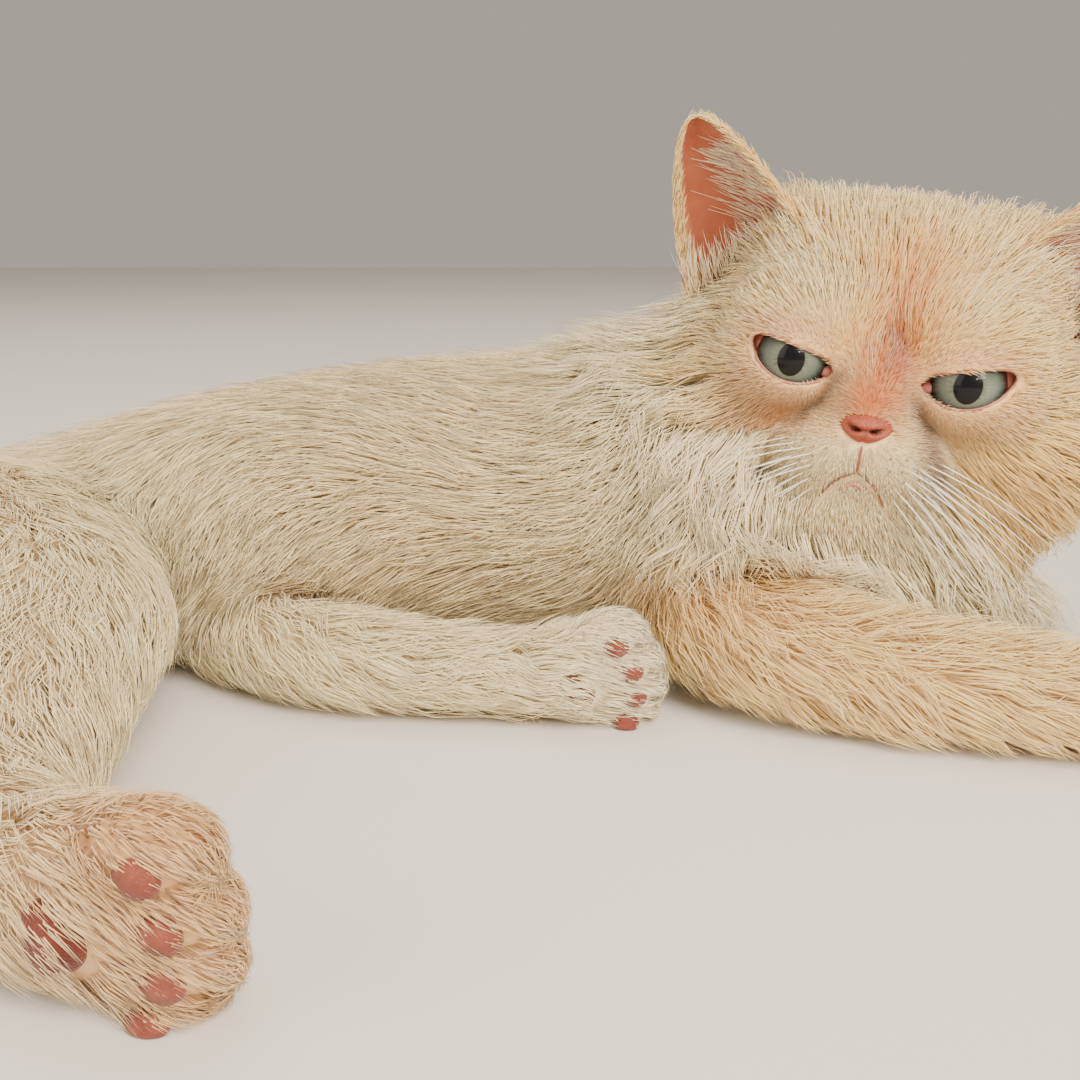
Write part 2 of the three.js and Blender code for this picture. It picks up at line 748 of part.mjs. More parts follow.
// A surface simplified by a tolerance, with the ends of every very short edge made one point
function simplified(solid, tolerance) {
  const { vertProperties, triVerts } = solid.simplify(tolerance).getMesh();
  const inThrees = (values, make) => Array.from({ length: values.length / 3 }, (_, i) => make(3 * i));
  const points = inThrees(vertProperties, (start) => vec(0, 0, 0).fromArray(vertProperties, start));
  const same = points.map((_, i) => i);
  const meant = (i) => (same[i] === i ? i : meant(same[i]));
  const corners = inThrees(triVerts, (start) => [0, 1, 2].map((k) => triVerts[start + k]));
  for (const corner of corners) {
    for (let k = 0; k < 3; k++) {
      const [a, b] = [corner[k], corner[(k + 1) % 3]].map(meant);
      if (points[a].distanceTo(points[b]) < SHORTEST_EDGE) same[Math.max(a, b)] = Math.min(a, b);
    }
  }
  const differ = ([a, b, c]) => a !== b && b !== c && c !== a;
  const kept = corners.map((corner) => corner.map(meant)).filter(differ);
  return { vertProperties, triVerts: kept.flat() };
}

// The finished surface at the first tolerance that leaves it clean
function finished(solid) {
  for (const tolerance of TOLERANCES) {
    const mesh = simplified(solid, tolerance);
    if (isPaired(mesh)) return mesh;
  }
  throw new Error('a surface touches itself along an edge');
}

const cat = new THREE.Group();
for (const [name, solid] of Object.entries(solids)) {
  const { vertProperties, triVerts } = finished(solid);
  const geometry = new THREE.BufferGeometry();
  geometry.setAttribute('position', new THREE.BufferAttribute(vertProperties, 3));
  geometry.setIndex(triVerts);
  const mesh = new THREE.Mesh(geometry, materialOf(name));
  mesh.name = name;
  cat.add(mesh);
}
export default cat;
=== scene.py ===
# A Persian cat at life size, lying half on its left side with its head raised towards the camera
import math

import bpy
import numpy as np
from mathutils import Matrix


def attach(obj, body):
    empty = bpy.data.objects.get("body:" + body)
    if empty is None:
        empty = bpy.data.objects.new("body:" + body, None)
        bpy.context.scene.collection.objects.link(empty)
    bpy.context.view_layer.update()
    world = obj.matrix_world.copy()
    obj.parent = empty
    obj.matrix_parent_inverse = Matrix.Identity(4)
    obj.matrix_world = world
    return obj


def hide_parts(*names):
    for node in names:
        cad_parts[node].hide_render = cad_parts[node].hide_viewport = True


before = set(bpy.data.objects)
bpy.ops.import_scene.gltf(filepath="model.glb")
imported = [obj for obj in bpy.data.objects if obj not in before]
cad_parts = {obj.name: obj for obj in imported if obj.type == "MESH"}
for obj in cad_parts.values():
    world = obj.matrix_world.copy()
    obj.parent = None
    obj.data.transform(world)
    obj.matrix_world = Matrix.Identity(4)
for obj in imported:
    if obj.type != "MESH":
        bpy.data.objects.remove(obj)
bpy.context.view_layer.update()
chance = np.random.default_rng(20611)

MM = 0.001
SKULL_CENTRE = np.array([162.0, -10.0, 84.0])
HEAD_YAW = -18
HEAD_ROLL = 7
EYE_RADIUS = 10.5
EYE = np.array([23.5, -32.5, 6.0])
CAMERA = np.array([60.0, -370.0, 130.0])
CAMERA_PITCH = 15
DOWN = np.array([0.0, 0.0, -1.0])
FAR_OFF = 60.0


# Small mathematics, over whole arrays

def unit(v):
    """Each vector over its own length."""
    return v / np.maximum(np.linalg.norm(v, axis=-1, keepdims=True), 1e-9)


def smooth(low, high, x):
    """0 before low, 1 past high, and a cubic ease between them. High may be the smaller."""
    t = np.clip((x - low) / (high - low), 0, 1)
    return t * t * (3 - 2 * t)


def mix(a, b, t):
    """The value a share t of the way from a to b."""
    return a + (b - a) * t


def hump(x, middle, spread):
    """A bell over x, 1 at its middle."""
    return np.exp(-(((x - middle) / spread) ** 2))


def turned(axis, angle):
    """The matrix that turns by an angle in degrees about the axis y or z."""
    c = math.cos(math.radians(angle))
    s = math.sin(math.radians(angle))
    if axis == "z":
        return np.array([[c, -s, 0], [s, c, 0], [0, 0, 1]])
    return np.array([[c, 0, s], [0, 1, 0], [-s, 0, c]])


def linear(red, green, blue):
    """A display colour of 0 to 255 as linear light."""
    share = np.array([red, green, blue]) / 255
    return np.where(share < 0.04045, share / 12.92, ((share + 0.055) / 1.055) ** 2.4)


def through(rows, steps):
    """A smooth curve through the rows: each span is a cubic whose end slopes are half of the
    difference between the rows on either side of that end."""
    rows = np.array(rows, float)
    before = np.vstack([2 * rows[0] - rows[1], rows[:-1]])
    after = np.vstack([rows[1:], 2 * rows[-1] - rows[-2]])
    slope = (after - before) / 2
    t = (np.arange(steps) / steps)[None, :, None]
    a = rows[:-1, None]
    b = rows[1:, None]
    spans = (
        (2 * t**3 - 3 * t**2 + 1) * a
        + (t**3 - 2 * t**2 + t) * slope[:-1, None]
        + (3 * t**2 - 2 * t**3) * b
        + (t**3 - t**2) * slope[1:, None]
    )
    return np.vstack([spans.reshape(-1, rows.shape[1]), rows[-1:]])


def blended(a, b, width):
    """The smaller of two distances, rounded where they are within width of each other."""
    near = np.maximum(width - np.abs(a - b), 0) / width
    return np.minimum(a, b) - near * near * width / 4


def measured_from(centre, q):
    """Points, as three arrays of coordinates, measured from a centre."""
    return [x - c for x, c in zip(q, centre)]


def along(axes, q):
    """How far points, as three arrays of coordinates, lie along each of some axes."""
    return [sum(x * n for x, n in zip(q, axis)) for axis in axes]


HEAD_TURN = turned("z", HEAD_YAW) @ turned("y", HEAD_ROLL)


def to_head(p):
    """Points in the head's own frame: a to the cat's left, b backwards, c upwards."""
    return (p - SKULL_CENTRE) @ HEAD_TURN


def from_head(q):
    """Points of the head's own frame as points of the model, in millimetres."""
    return np.asarray(q, float) @ HEAD_TURN.T + SKULL_CENTRE


# The body under its coat

class Tube:
    """An ellipse carried along a path of rows x, y, z, side radius and up radius, which give the
    coat's outline. The skin lies inside it by the coat's depth, which is less under the body."""

    def __init__(self, rows, depth, under, fixed=None, flow=1.0):
        rows = through(rows, 3)
        self.centre = rows[:, :3].copy()
        self.centre[:, 2] -= (depth - under) / 2
        self.radii = np.maximum(rows[:, 3:] - [depth, (depth + under) / 2], 3.0)
        self.tangent = unit(np.gradient(self.centre, axis=0))
        self.side = unit(np.cross([0, 0, 1], self.tangent))
        self.up = np.cross(self.tangent, self.side)
        if fixed is not None:
            self.side = np.broadcast_to(fixed[0], self.centre.shape)
            self.up = np.broadcast_to(fixed[1], self.centre.shape)
        self.step = np.linalg.norm(np.diff(self.centre, axis=0), axis=1).mean()
        self.flow = flow

    def place_of(self, p):
        """For each point: its share of the way along, its angle round the tube, its distance from
        the skin, and the way that the coat lies there."""
        apart = ((p[:, None] - self.centre[None]) ** 2).sum(2) / self.radii.max(1) ** 2
        near = np.argmin(apart, 1)
        q = p - self.centre[near]
        x = (q * self.side[near]).sum(1) / self.radii[near, 0]
        y = (q * self.up[near]).sum(1) / self.radii[near, 1]
        past = np.maximum(np.abs((q * self.tangent[near]).sum(1)) - self.step, 0)
        distance = (np.hypot(x, y) - 1) * np.sqrt(self.radii[near].prod(1)) + past
        way = self.flow * self.tangent[near]
        return near / (len(self.centre) - 1), np.arctan2(y, x), distance, way


YAWED = [turned("z", HEAD_YAW) @ np.array(axis) for axis in ([1.0, 0, 0], [0, 1.0, 0])]
TUBES = {
    "trunk": Tube([
        [-166, -8, 26, 12, 12], [-155, -8, 28, 34, 24], [-130, -5, 29, 54, 29], [-100, 0, 32, 62, 33],
        [-60, 8, 37, 66, 39], [-20, 14, 41, 69, 44], [30, 18, 44, 69, 47], [75, 16, 45, 67, 47],
        [110, 8, 44, 60, 45], [140, -2, 40, 44, 38], [158, -8, 36, 22, 22],
    ], 11, 3, fixed=[np.array([0, 1.0, 0]), np.array([0, 0, 1.0])], flow=-1.0),
    "neck": Tube([
        [128, -15, -8, 48, 44], [129, -16, 8, 62, 52], [132, -17, 26, 70, 53], [138, -13, 44, 74, 46],
        [147, -3, 60, 76, 40], [158, 7, 80, 72, 40], [165, 12, 100, 56, 36],
    ], 16, 16, fixed=YAWED, flow=-1.0),
    "nape": Tube([
        [92, 20, 50, 50, 40], [122, 20, 62, 52, 42], [150, 17, 78, 48, 40], [170, 10, 94, 38, 32],
    ], 17, 17, flow=-1.0),
    "foreleg_right": Tube([
        [98, -22, 32, 18, 18], [106, -48, 23, 20, 19], [126, -68, 19, 19, 18.5],
        [158, -81, 17, 17.5, 17], [194, -91, 15, 15.5, 15], [222, -99, 14, 14, 13.5],
    ], 6, 2.5),
    "foreleg_left": Tube([
        [120, 26, 22, 18, 18], [148, 28, 18, 17, 17], [176, 20, 15, 15, 15], [192, 6, 14, 13.5, 13],
    ], 6, 2.5),
    "hindleg_right": Tube([
        [-122, -8, 30, 30, 26], [-94, -46, 35, 40, 33], [-68, -84, 32, 39, 31],
        [-60, -118, 27, 33, 26.5], [-54, -148, 22, 27, 22], [-42, -170, 19, 22, 19],
        [-26, -182, 18, 18, 17.5],
    ], 9, 4),
    "hindleg_left": Tube([
        [-66, 0, 20, 20, 19], [-36, -30, 17, 19, 17], [-4, -56, 15, 17, 15.5],
        [28, -66, 14, 15, 14.5], [56, -70, 13, 13.5, 13.5],
    ], 6, 2.5),
    "tail": Tube([
        [-146, 2, 22, 22, 20], [-180, -8, 24, 27, 24], [-208, -40, 25, 29, 25.5],
        [-214, -84, 25, 29, 25.5], [-198, -124, 22, 25, 22.5], [-174, -146, 17, 15, 16],
    ], 12, 8),
}

# Ellipsoids under the head's coat, each as centre and radii, the second list on both sides
HEAD_MIDDLE = [
    ([0, 4, 11], [45, 36, 36]),
    ([0, -33, -31], [14, 11, 9.5]),
    ([0, -36.5, 0], [10.5, 10, 14]),
]
HEAD_SIDES = [
    ([30, -4, -9], [28, 26, 25]),
    ([21, -29.5, 17.5], [18, 12.5, 10.5]),
    ([23.5, -27, 6], [18.5, 14, 14.5]),
    ([9.5, -37.5, -18], [13.5, 11.5, 10.5]),
]
HEAD_FORMS = [(np.array(c, float), np.array(r, float)) for c, r in HEAD_MIDDLE]
for centre, radii in HEAD_SIDES:
    for sign in (-1, 1):
        HEAD_FORMS.append((np.array(centre) * [sign, 1.0, 1.0], np.array(radii, float)))

# Each paw's centre, the way its toes point, the way its sole faces, and its size
PAWS = {
    "forepaw_right": ([237, -103, 13.5], [0.95, -0.3, 0], [0, 0, -1], 1.05),
    "forepaw_left": ([194, -12, 12.5], [0, -1, 0], [0, 0, -1], 0.98),
    "hindpaw_right": ([-12, -188, 17.5], [0.94, -0.3, -0.1], [-0.2, -0.95, -0.1], 1.2),
    "hindpaw_left": ([73, -71, 13.5], [0.97, -0.12, 0.12], [-0.05, -0.98, -0.2], 0.95),
}
PALM = np.array([16.0, 12.5, 10.5])
TOE = np.array([9.0, 5.2, 6.8])
TOE_FAN = 8.2
TOE_PADS = [3.5, 2.9, 2.2]
PALM_PAD = [5.0, 6.1, 2.6]


def paw_frame(name):
    """The paw's centre, its size and its axes: forwards, across and away from the sole."""
    centre, forward, sole, size = PAWS[name]
    x = unit(np.array(forward, float))
    z = -np.array(sole, float)
    y = unit(np.cross(z, x))
    return np.array(centre, float), size, np.array([x, y, np.cross(x, y)])


def toe_places():
    """Each toe's place ahead of and across the palm, the middle two ahead of the outer two."""
    return [(12 - abs(t - 1.5) * 3, (t - 1.5) * TOE_FAN) for t in range(4)]


def pad_places():
    """Each pad's place in its paw's frame and its radii: four under the toes and one under the palm."""
    found = [([ahead + 2, across, -8], TOE_PADS) for ahead, across in toe_places()]
    return found + [([-3, 0, -10.2], PALM_PAD)]


def ellipsoid_distance(q, radii):
    """The distance to an ellipsoid about the origin, from three arrays of coordinates: the stretched
    length k times k - 1, over the length of its slope."""
    k = np.sqrt(sum((x / r) ** 2 for x, r in zip(q, radii))) + 1e-6
    slope = np.sqrt(sum((x / r**2) ** 2 for x, r in zip(q, radii))) + 1e-6
    return k * (k - 1) / slope


def head_distance(q):
    """The distance to the head's skin in the head's own frame, all forms blended over 7 mm."""
    d = np.full(np.broadcast(*q).shape, FAR_OFF, np.float32)
    for centre, radii in HEAD_FORMS:
        d = blended(d, ellipsoid_distance(measured_from(centre, q), radii), 7.0)
    return d


# Lids: heights of their edges over the eye's axis, by the place across the eye, nose side negative
LID_SLANT = 14
LID_HALF = 12.3
LID_CORNER = 1.3
LID_RISE = 3.2
LID_DROP = 6.9


def upper_edge(x):
    """Nearly straight: its height times 1 less the fourth power of the share of the way out."""
    return LID_CORNER + LID_RISE * np.maximum(1 - np.abs(x / LID_HALF) ** 4, 0) ** 0.8


def lower_edge(x):
    """Round: its depth times a power of 1 less the square of the share of the way out."""
    return LID_CORNER - LID_DROP * np.maximum(1 - (x / LID_HALF) ** 2, 0) ** 0.72


def eye_frame(sign):
    """The eye's centre and its axes in the head's frame: outwards, forwards and up, slanted so that
    the nose side is lower."""
    slant = math.radians(LID_SLANT)
    outward = np.array([sign * math.cos(slant), 0, math.sin(slant)])
    upward = np.array([-sign * math.sin(slant), 0, math.cos(slant)])
    return EYE * [sign, 1, 1], outward, np.array([0, -1.0, 0]), upward


# The skin as a distance over a grid that is finer at the head, and the surface where it is zero

def steps(*runs):
    """Coordinates along an axis, from runs of start, end and step."""
    return np.concatenate([np.arange(*run) for run in runs]).astype(np.float32)


GRID = [
    steps((-252, 94, 2.5), (94, 232, 1.3), (232, 276, 2.5)),
    steps((-226, -72, 2.5), (-72, 50, 1.3), (50, 102, 2.5)),
    steps((-8, 34, 2.2), (34, 152, 1.3)),
]
REACH = 40
FLOOR_GAP = 1.0
distance = np.full([len(axis) for axis in GRID], FAR_OFF, np.float32)


def box_round(low, high):
    """The part of the grid between two corners and its three coordinate arrays."""
    spans = [
        slice(*np.searchsorted(axis, [a - REACH, b + REACH])) for axis, a, b in zip(GRID, low, high)
    ]
    x, y, z = (axis[span] for axis, span in zip(GRID, spans))
    return tuple(spans), (x[:, None, None], y[None, :, None], z[None, None, :])


def add_tube(tube, width):
    """Blends a tube into the distance: the nearest of its lengths between two rows."""
    own = np.full(distance.shape, FAR_OFF, np.float32)
    for j in range(len(tube.centre) - 1):
        ends = tube.centre[j:j + 2]
        reach = tube.radii[j:j + 2].max()
        spans, p = box_round(ends.min(0) - reach, ends.max(0) + reach)
        side = tube.side[j]
        up = tube.up[j]
        normal = np.cross(side, up)
        run = ends[1] - ends[0]
        q = measured_from(ends[0], p)
        t = along([normal], q)[0] / (run @ normal)
        t = np.clip(t, 0, 1).astype(np.float32)
        q = measured_from([t * r for r in run], q)
        a, b = (mix(tube.radii[j, k], tube.radii[j + 1, k], t) for k in range(2))
        d = ellipsoid_distance(along([side, up, normal], q), [a, b, np.minimum(a, b)])
        own[spans] = np.minimum(own[spans], d)
    distance[:] = blended(distance, own, width)


def add_ellipsoid(centre, radii, axes, width):
    """Blends one turned ellipsoid into the distance."""
    reach = max(radii)
    spans, p = box_round(centre - reach, centre + reach)
    local = along(axes, measured_from(centre, p))
    distance[spans] = blended(distance[spans], ellipsoid_distance(local, radii), width)


def add_head():
    """Blends the head in, puts a lid over each eye, and opens the lids down to the eyeball."""
    spans, p = box_round(SKULL_CENTRE - 60, SKULL_CENTRE + 60)
    q = along(HEAD_TURN.T, measured_from(SKULL_CENTRE, p))
    d = head_distance(q)
    for sign in (-1, 1):
        centre, *axes = eye_frame(sign)
        local = measured_from(centre, q)
        x, y, z = along(axes, local)
        ball = np.sqrt(sum(v**2 for v in local))
        d = blended(d, ball - EYE_RADIUS - 1.9, 2.0)
        slit = np.maximum(np.maximum(z - upper_edge(x), lower_edge(x) - z), 0.8 - y)
        slit = np.maximum(slit, ball - EYE_RADIUS - 8)
        d = np.maximum(d, -slit)
        d = np.minimum(d, ball - EYE_RADIUS + 1.2)
    distance[spans] = blended(distance[spans], d, 9.0)


def add_paw(name):
    """Blends in a palm and four toes."""
    centre, size, axes = paw_frame(name)
    add_ellipsoid(centre - 2 * size * axes[0], PALM * size, axes, 7.0)
    for ahead, across in toe_places():
        place = centre + size * (ahead * axes[0] + across * axes[1] - 1.5 * axes[2])
        add_ellipsoid(place, TOE * size, axes, 1.6)


def sampled(p):
    """The distance at any points, by mixing the eight grid values round each."""
    places = [np.interp(p[:, k], axis, np.arange(len(axis))) for k, axis in enumerate(GRID)]
    low = [np.clip(place.astype(int), 0, len(axis) - 2) for place, axis in zip(places, GRID)]
    share = [place - i for place, i in zip(places, low)]
    total = np.zeros(len(p))
    for corner in range(8):
        bits = [(corner >> k) & 1 for k in range(3)]
        weight = np.ones(len(p))
        for s, bit in zip(share, bits):
            weight = weight * (s if bit else 1 - s)
        total += weight * distance[tuple(i + bit for i, bit in zip(low, bits))]
    return total


def outward(p, step=1.6):
    """The way out of the skin: the slope of the distance, from points a step either side."""
    slope = []
    for k in range(3):
        shift = np.zeros(3)
        shift[k] = step
        slope.append(sampled(p + shift) - sampled(p - shift))
    return unit(np.stack(slope, 1))


def surface_of(values):
    """The surface where the grid's values are zero. Each cell that it crosses gets one point, the
    mean of the crossings on the cell's edges, and each grid edge that it crosses one quad."""
    inside = values < 0
    corners = [tuple((c >> k) & 1 for k in range(3)) for c in range(8)]
    shape = np.array(values.shape) - 1

    def cut(array, offset):
        return array[tuple(slice(o, o + n) for o, n in zip(offset, shape))]

    count = sum(cut(inside, corner).astype(np.uint8) for corner in corners)
    crossed = (count > 0) & (count < 8)
    number = np.full(crossed.shape, -1, np.int32)
    number[crossed] = np.arange(crossed.sum())
    cells = np.stack(np.nonzero(crossed), 1)
    at = [values[tuple((cells + corner).T)] for corner in corners]
    total = np.zeros((len(cells), 3))
    hits = np.zeros((len(cells), 1))
    for a in range(8):
        for k in range(3):
            b = a | (1 << k)
            if a == b:
                continue
            hit = (at[a] < 0) != (at[b] < 0)
            share = np.where(hit, at[a] / np.where(hit, at[a] - at[b], 1), 0)
            point = np.array(corners[a]) + share[:, None] * (np.array(corners[b]) - corners[a])
            total += point * hit[:, None]
            hits += hit[:, None]
    place = cells + total / hits
    points = np.stack(
        [np.interp(place[:, k], np.arange(len(axis)), axis) for k, axis in enumerate(GRID)], 1
    )
    quads = []
    for k in range(3):
        m = np.moveaxis(inside, k, 0)
        n = np.moveaxis(number, k, 0)
        first = m[:-1, 1:-1, 1:-1]
        i, j, h = np.nonzero(first != m[1:, 1:-1, 1:-1])
        quad = np.stack([n[i, j, h], n[i, j + 1, h], n[i, j + 1, h + 1], n[i, j, h + 1]], 1)
        same = first[i, j, h] ^ (k == 1)
        quads.append(np.where(same[:, None], quad, quad[:, ::-1]))
    return points, np.concatenate(quads)


add_head()
for tube_name, blend_width in (("trunk", 12.0), ("neck", 14.0), ("nape", 14.0), ("tail", 9.0)):
    add_tube(TUBES[tube_name], blend_width)
for tube_name in ("hindleg_right", "hindleg_left", "foreleg_right", "foreleg_left"):
    add_tube(TUBES[tube_name], 8.0)
for paw_name in PAWS:
    add_paw(paw_name)
distance = np.maximum(distance, FLOOR_GAP - GRID[2][None, None, :])
skin_points, skin_quads = surface_of(distance)


# Where on the body a point is, how its coat lies and what colour it is

PARTS = [*TUBES, "head", *PAWS]
# Length and rise of the coat in millimetres, width of a strand, and strands to a square millimetre
COATS = {
    "trunk": (34, 8.5, 0.48, 0.66), "neck": (46, 19, 0.54, 1.25), "nape": (40, 14, 0.52, 1.0),
    "foreleg_right": (23, 8, 0.48, 0.68), "foreleg_left": (20, 6, 0.52, 0.5),
    "hindleg_right": (26, 6.5, 0.5, 0.6), "hindleg_left": (20, 6, 0.45, 0.82),
    "tail": (44, 11, 0.7, 0.42), "head": (15, 8, 0.6, 1.0),
    "forepaw_right": (9, 2.8, 0.42, 1.5), "forepaw_left": (9, 2.8, 0.45, 1.1),
    "hindpaw_right": (9.5, 3, 0.46, 1.35), "hindpaw_left": (8, 2.6, 0.42, 1.9),
}
NOSE_ROOT = np.array([0, -50.0, -9.0])


class Places:
    """What is known of points on the skin: their shares of each part, and their places on the part
    that they are nearest to."""

    def __init__(self, p):
        self.p = p
        self.q = to_head(p)
        found = [TUBES[name].place_of(p) for name in TUBES]
        q = self.q
        theta = np.arccos(np.clip(-q[:, 1] / np.linalg.norm(q, axis=1), -1, 1))
        way = unit(unit(q - NOSE_ROOT) + [0, 0.35, 0]) @ HEAD_TURN.T
        found.append((theta / math.pi, np.arctan2(q[:, 2], q[:, 0]), head_distance(q.T), way))
        for name in PAWS:
            centre, size, axes = paw_frame(name)
            local = (p - centre) @ axes.T / size
            share = np.clip(0.5 + local[:, 0] / 44, 0, 1)
            angle = np.arctan2(local[:, 2], local[:, 1])
            far = np.linalg.norm(local / [1.5, 1.25, 1], axis=1) - 10
            found.append((share, angle, far, np.broadcast_to(axes[0], p.shape)))
        away = np.stack([f[2] for f in found], 1)
        self.owner = np.argmin(away, 1)
        weight = np.exp(-np.clip(away - away.min(1)[:, None], 0, 60) / 5)
        self.weight = weight / weight.sum(1)[:, None]
        pick = np.arange(len(p))
        self.ahead, self.angle = (
            np.stack([f[k] for f in found], 1)[pick, self.owner] for k in range(2)
        )
        self.way = np.einsum("np,pnk->nk", self.weight, np.stack([f[3] for f in found]))

    def share(self, *names):
        """The shares of the named parts together."""
        return self.weight[:, [PARTS.index(name) for name in names]].sum(1)


def from_lids(q):
    """How far points of the head are from the lids of the nearer eye."""
    away = [np.linalg.norm(q - EYE * [sign, 1, 1], axis=1) for sign in (-1, 1)]
    return np.minimum(*away) - EYE_RADIUS - 2


def over_face(q):
    """How far a point of the head is from the nose, from 0 to 1, and how near it is to an eye."""
    far = np.linalg.norm((q - [0, -44, -10]) * [1, 0.8, 1], axis=1)
    return smooth(12, 64, far), smooth(0, 11, from_lids(q))


def coat_of(places, normal):
    """The length and rise of the coat, the width of its strands and how many there are."""
    table = np.array([COATS[name] for name in PARTS], float)
    length, rise, width, density = (places.weight @ table).T
    q = places.q
    head = smooth(0.3, 0.8, places.share("head"))
    far, eye = over_face(q)
    a, b, c = q.T
    cheek = smooth(22, 46, np.abs(a)) * smooth(12, -12, c) * smooth(14, -20, b)
    by_ear = hump(np.abs(a), 33, 13) * smooth(24, 38, c) * smooth(20, 0, b)
    chin = far * smooth(-16, -34, c)
    face_length = (4.0 + 15 * far + 15 * cheek + 15 * by_ear + 9 * chin) * mix(0.5, 1, eye)
    face_rise = face_length * mix(0.34, 0.5, far) + 7 * by_ear
    length = mix(length, face_length, head)
    rise = mix(rise, face_rise, head)
    width = mix(width, mix(0.3, 0.5, far), head)
    density = mix(density, mix(3.5, 1.2, far), head)
    under = smooth(-0.2, -0.75, normal[:, 2]) * smooth(30, 12, places.p[:, 2])
    rise = mix(rise, np.minimum(rise, 4), under)
    facing = smooth(-0.6, 0.1, (normal * unit(CAMERA - places.p)).sum(1))
    density = density * mix(1, 0.2, under) * mix(0.4, 1, facing)
    width = width * mix(1.5, 1, facing)
    return length, rise, width, density


def lie_of(places, normal):
    """The way that the coat lies: along each part, out from the head in the ruff, round in soft
    swirls on the belly, and hanging a little everywhere."""
    p = places.p
    way = places.way.copy()
    ruff = places.share("neck", "nape")[:, None]
    out = unit((p - SKULL_CENTRE) * [1, 1, 0.35])
    way = way * (1 - 0.55 * ruff) + out * ruff * 0.9 + DOWN * ruff * 0.9
    body = places.share("trunk")[:, None]
    way = way + DOWN * body * 0.55
    way = way + DOWN * 0.12
    x, y, z = p.T
    swirl = 0.5 * np.sin(x / 27 + z / 19) + 0.35 * np.sin(y / 21 - x / 41 + 1.3)
    angle = swirl * (1 - 0.85 * places.share("head", *PAWS))
    way = unit(way - (way * normal).sum(1)[:, None] * normal)
    across = np.cross(normal, way)
    return way * np.cos(angle)[:, None] + across * np.sin(angle)[:, None]


WHITE = linear(254, 237, 200)
CREAM = linear(252, 229, 180)
BACK_CREAM = linear(253, 227, 182)
TAN = linear(214, 158, 88)
FLAME = linear(226, 128, 22)
DEEP_FLAME = linear(166, 78, 8)
PALE_FLAME = linear(252, 202, 104)
NOSE_VELVET = linear(218, 112, 22)
STAIN = linear(104, 54, 22)
BLUSH = linear(246, 184, 136)


def painted(base, coats):
    """A base colour with paints laid over it one after another, each by its share at each point."""
    colour = base[None]
    for paint, share in coats:
        colour = mix(colour, paint, np.clip(share, 0, 1)[:, None])
    return colour


def body_markings(places):
    """Cream, browner on the rump and near forepaw, orange on the near foreleg and tail; tan painted
    shade.
    """
    x, y, z = places.p.T
    a, _, c = places.q.T
    share = places.share
    wave = 0.5 + 0.5 * np.sin(x / 33 + 1.7 * np.sin(z / 26) + y / 37)
    flank = share("trunk", "hindleg_right")
    # Painted shade under the cheek, as a bell in the head's frame.
    painted_shade_under_cheek = hump(a, -34, 24) * hump(c, -50, 13)
    return painted(CREAM, [
        (BACK_CREAM, smooth(0, 60, y) * share("trunk", "nape")),
        (TAN, 0.2 * wave * flank),
        (TAN, 0.65 * smooth(-70, -130, x) * flank),
        (WHITE, 0.6 * share("neck", "foreleg_right", "foreleg_left")),
        (WHITE, 0.75 * share(*PAWS)),
        # Painted shade: the near hind paw is painted tan as the shade it lies in; the near forepaw is
        # browned a little.
        (TAN, 0.85 * share("hindpaw_right") + 0.3 * share("forepaw_right")),
        # Painted shade: tan on the ruff and near foreleg under the cheek, where the head's shadow falls.
        (TAN, 0.6 * painted_shade_under_cheek * share("neck", "foreleg_right")),
        (PALE_FLAME, 0.7 * share("foreleg_right")),
        (PALE_FLAME, 0.85 * share("tail")),
        (FLAME, 0.5 * share("tail") * wave),
    ])


def head_markings(q):
    """Pale orange cream, with a flame up the forehead, a paler muzzle, and brown stains that run
    down from the inner corners of the eyes."""
    a, b, c = q.T
    front = smooth(8, -14, b)
    streak = 0.6 + 0.4 * np.sin(a * 1.5 + 0.12 * c)
    right_stain = hump(a - 13 + 0.45 * (c + 4), 0, 3.2) * smooth(5, -1, c) * smooth(-32, -16, c)
    left_stain = hump(-a - 12.5 + 0.6 * (c + 2), 0, 2.4) * smooth(6, 2, c) * smooth(-13, -8, c)
    return painted(mix(CREAM, PALE_FLAME, 0.4), [
        (PALE_FLAME, 0.45 * smooth(10, 34, a)),
        (PALE_FLAME, 0.6 * hump(np.abs(a), 31, 8) * smooth(24, 36, c)),
        (PALE_FLAME, 0.95 * hump(a, 3, 16) * smooth(2, 14, c) * smooth(50, 26, c) * front),
        (FLAME, hump(a, 3, 9) * smooth(-4, 6, c) * smooth(42, 20, c) * front * streak),
        (DEEP_FLAME, 0.9 * hump(a, 4, 5) * hump(c, 9, 10) * front),
        (TAN, 0.8 * hump(a, -44, 12) * hump(c, -20, 12)),
        (FLAME, 0.7 * hump(a, -24, 10) * hump(c, -10, 7) * front),
        (PALE_FLAME, 0.6 * smooth(16, 30, a) * smooth(4, -10, c) * smooth(-45, -20, c)),
        (CREAM, 0.95 * smooth(-9, -15, c) * smooth(27, 17, np.abs(a)) * front),
        (TAN, 0.35 * hump(a, -6, 12) * hump(c, -40, 6) * front),
        (NOSE_VELVET, 0.95 * hump(a, 0, 7.5) * hump(c, -1, 7) * front),
        (STAIN, (0.85 * right_stain + 0.8 * left_stain) * front),
        (BLUSH, 0.45 * (1 - smooth(0, 4, from_lids(q))) * front),
    ])


def markings(places):
    """The coat's colours at points of the skin, the head's own where they are on it."""
    head = smooth(0.3, 0.8, places.share("head"))
    return mix(body_markings(places), head_markings(places.q), head[:, None])


# Pieces

SHEET = 300


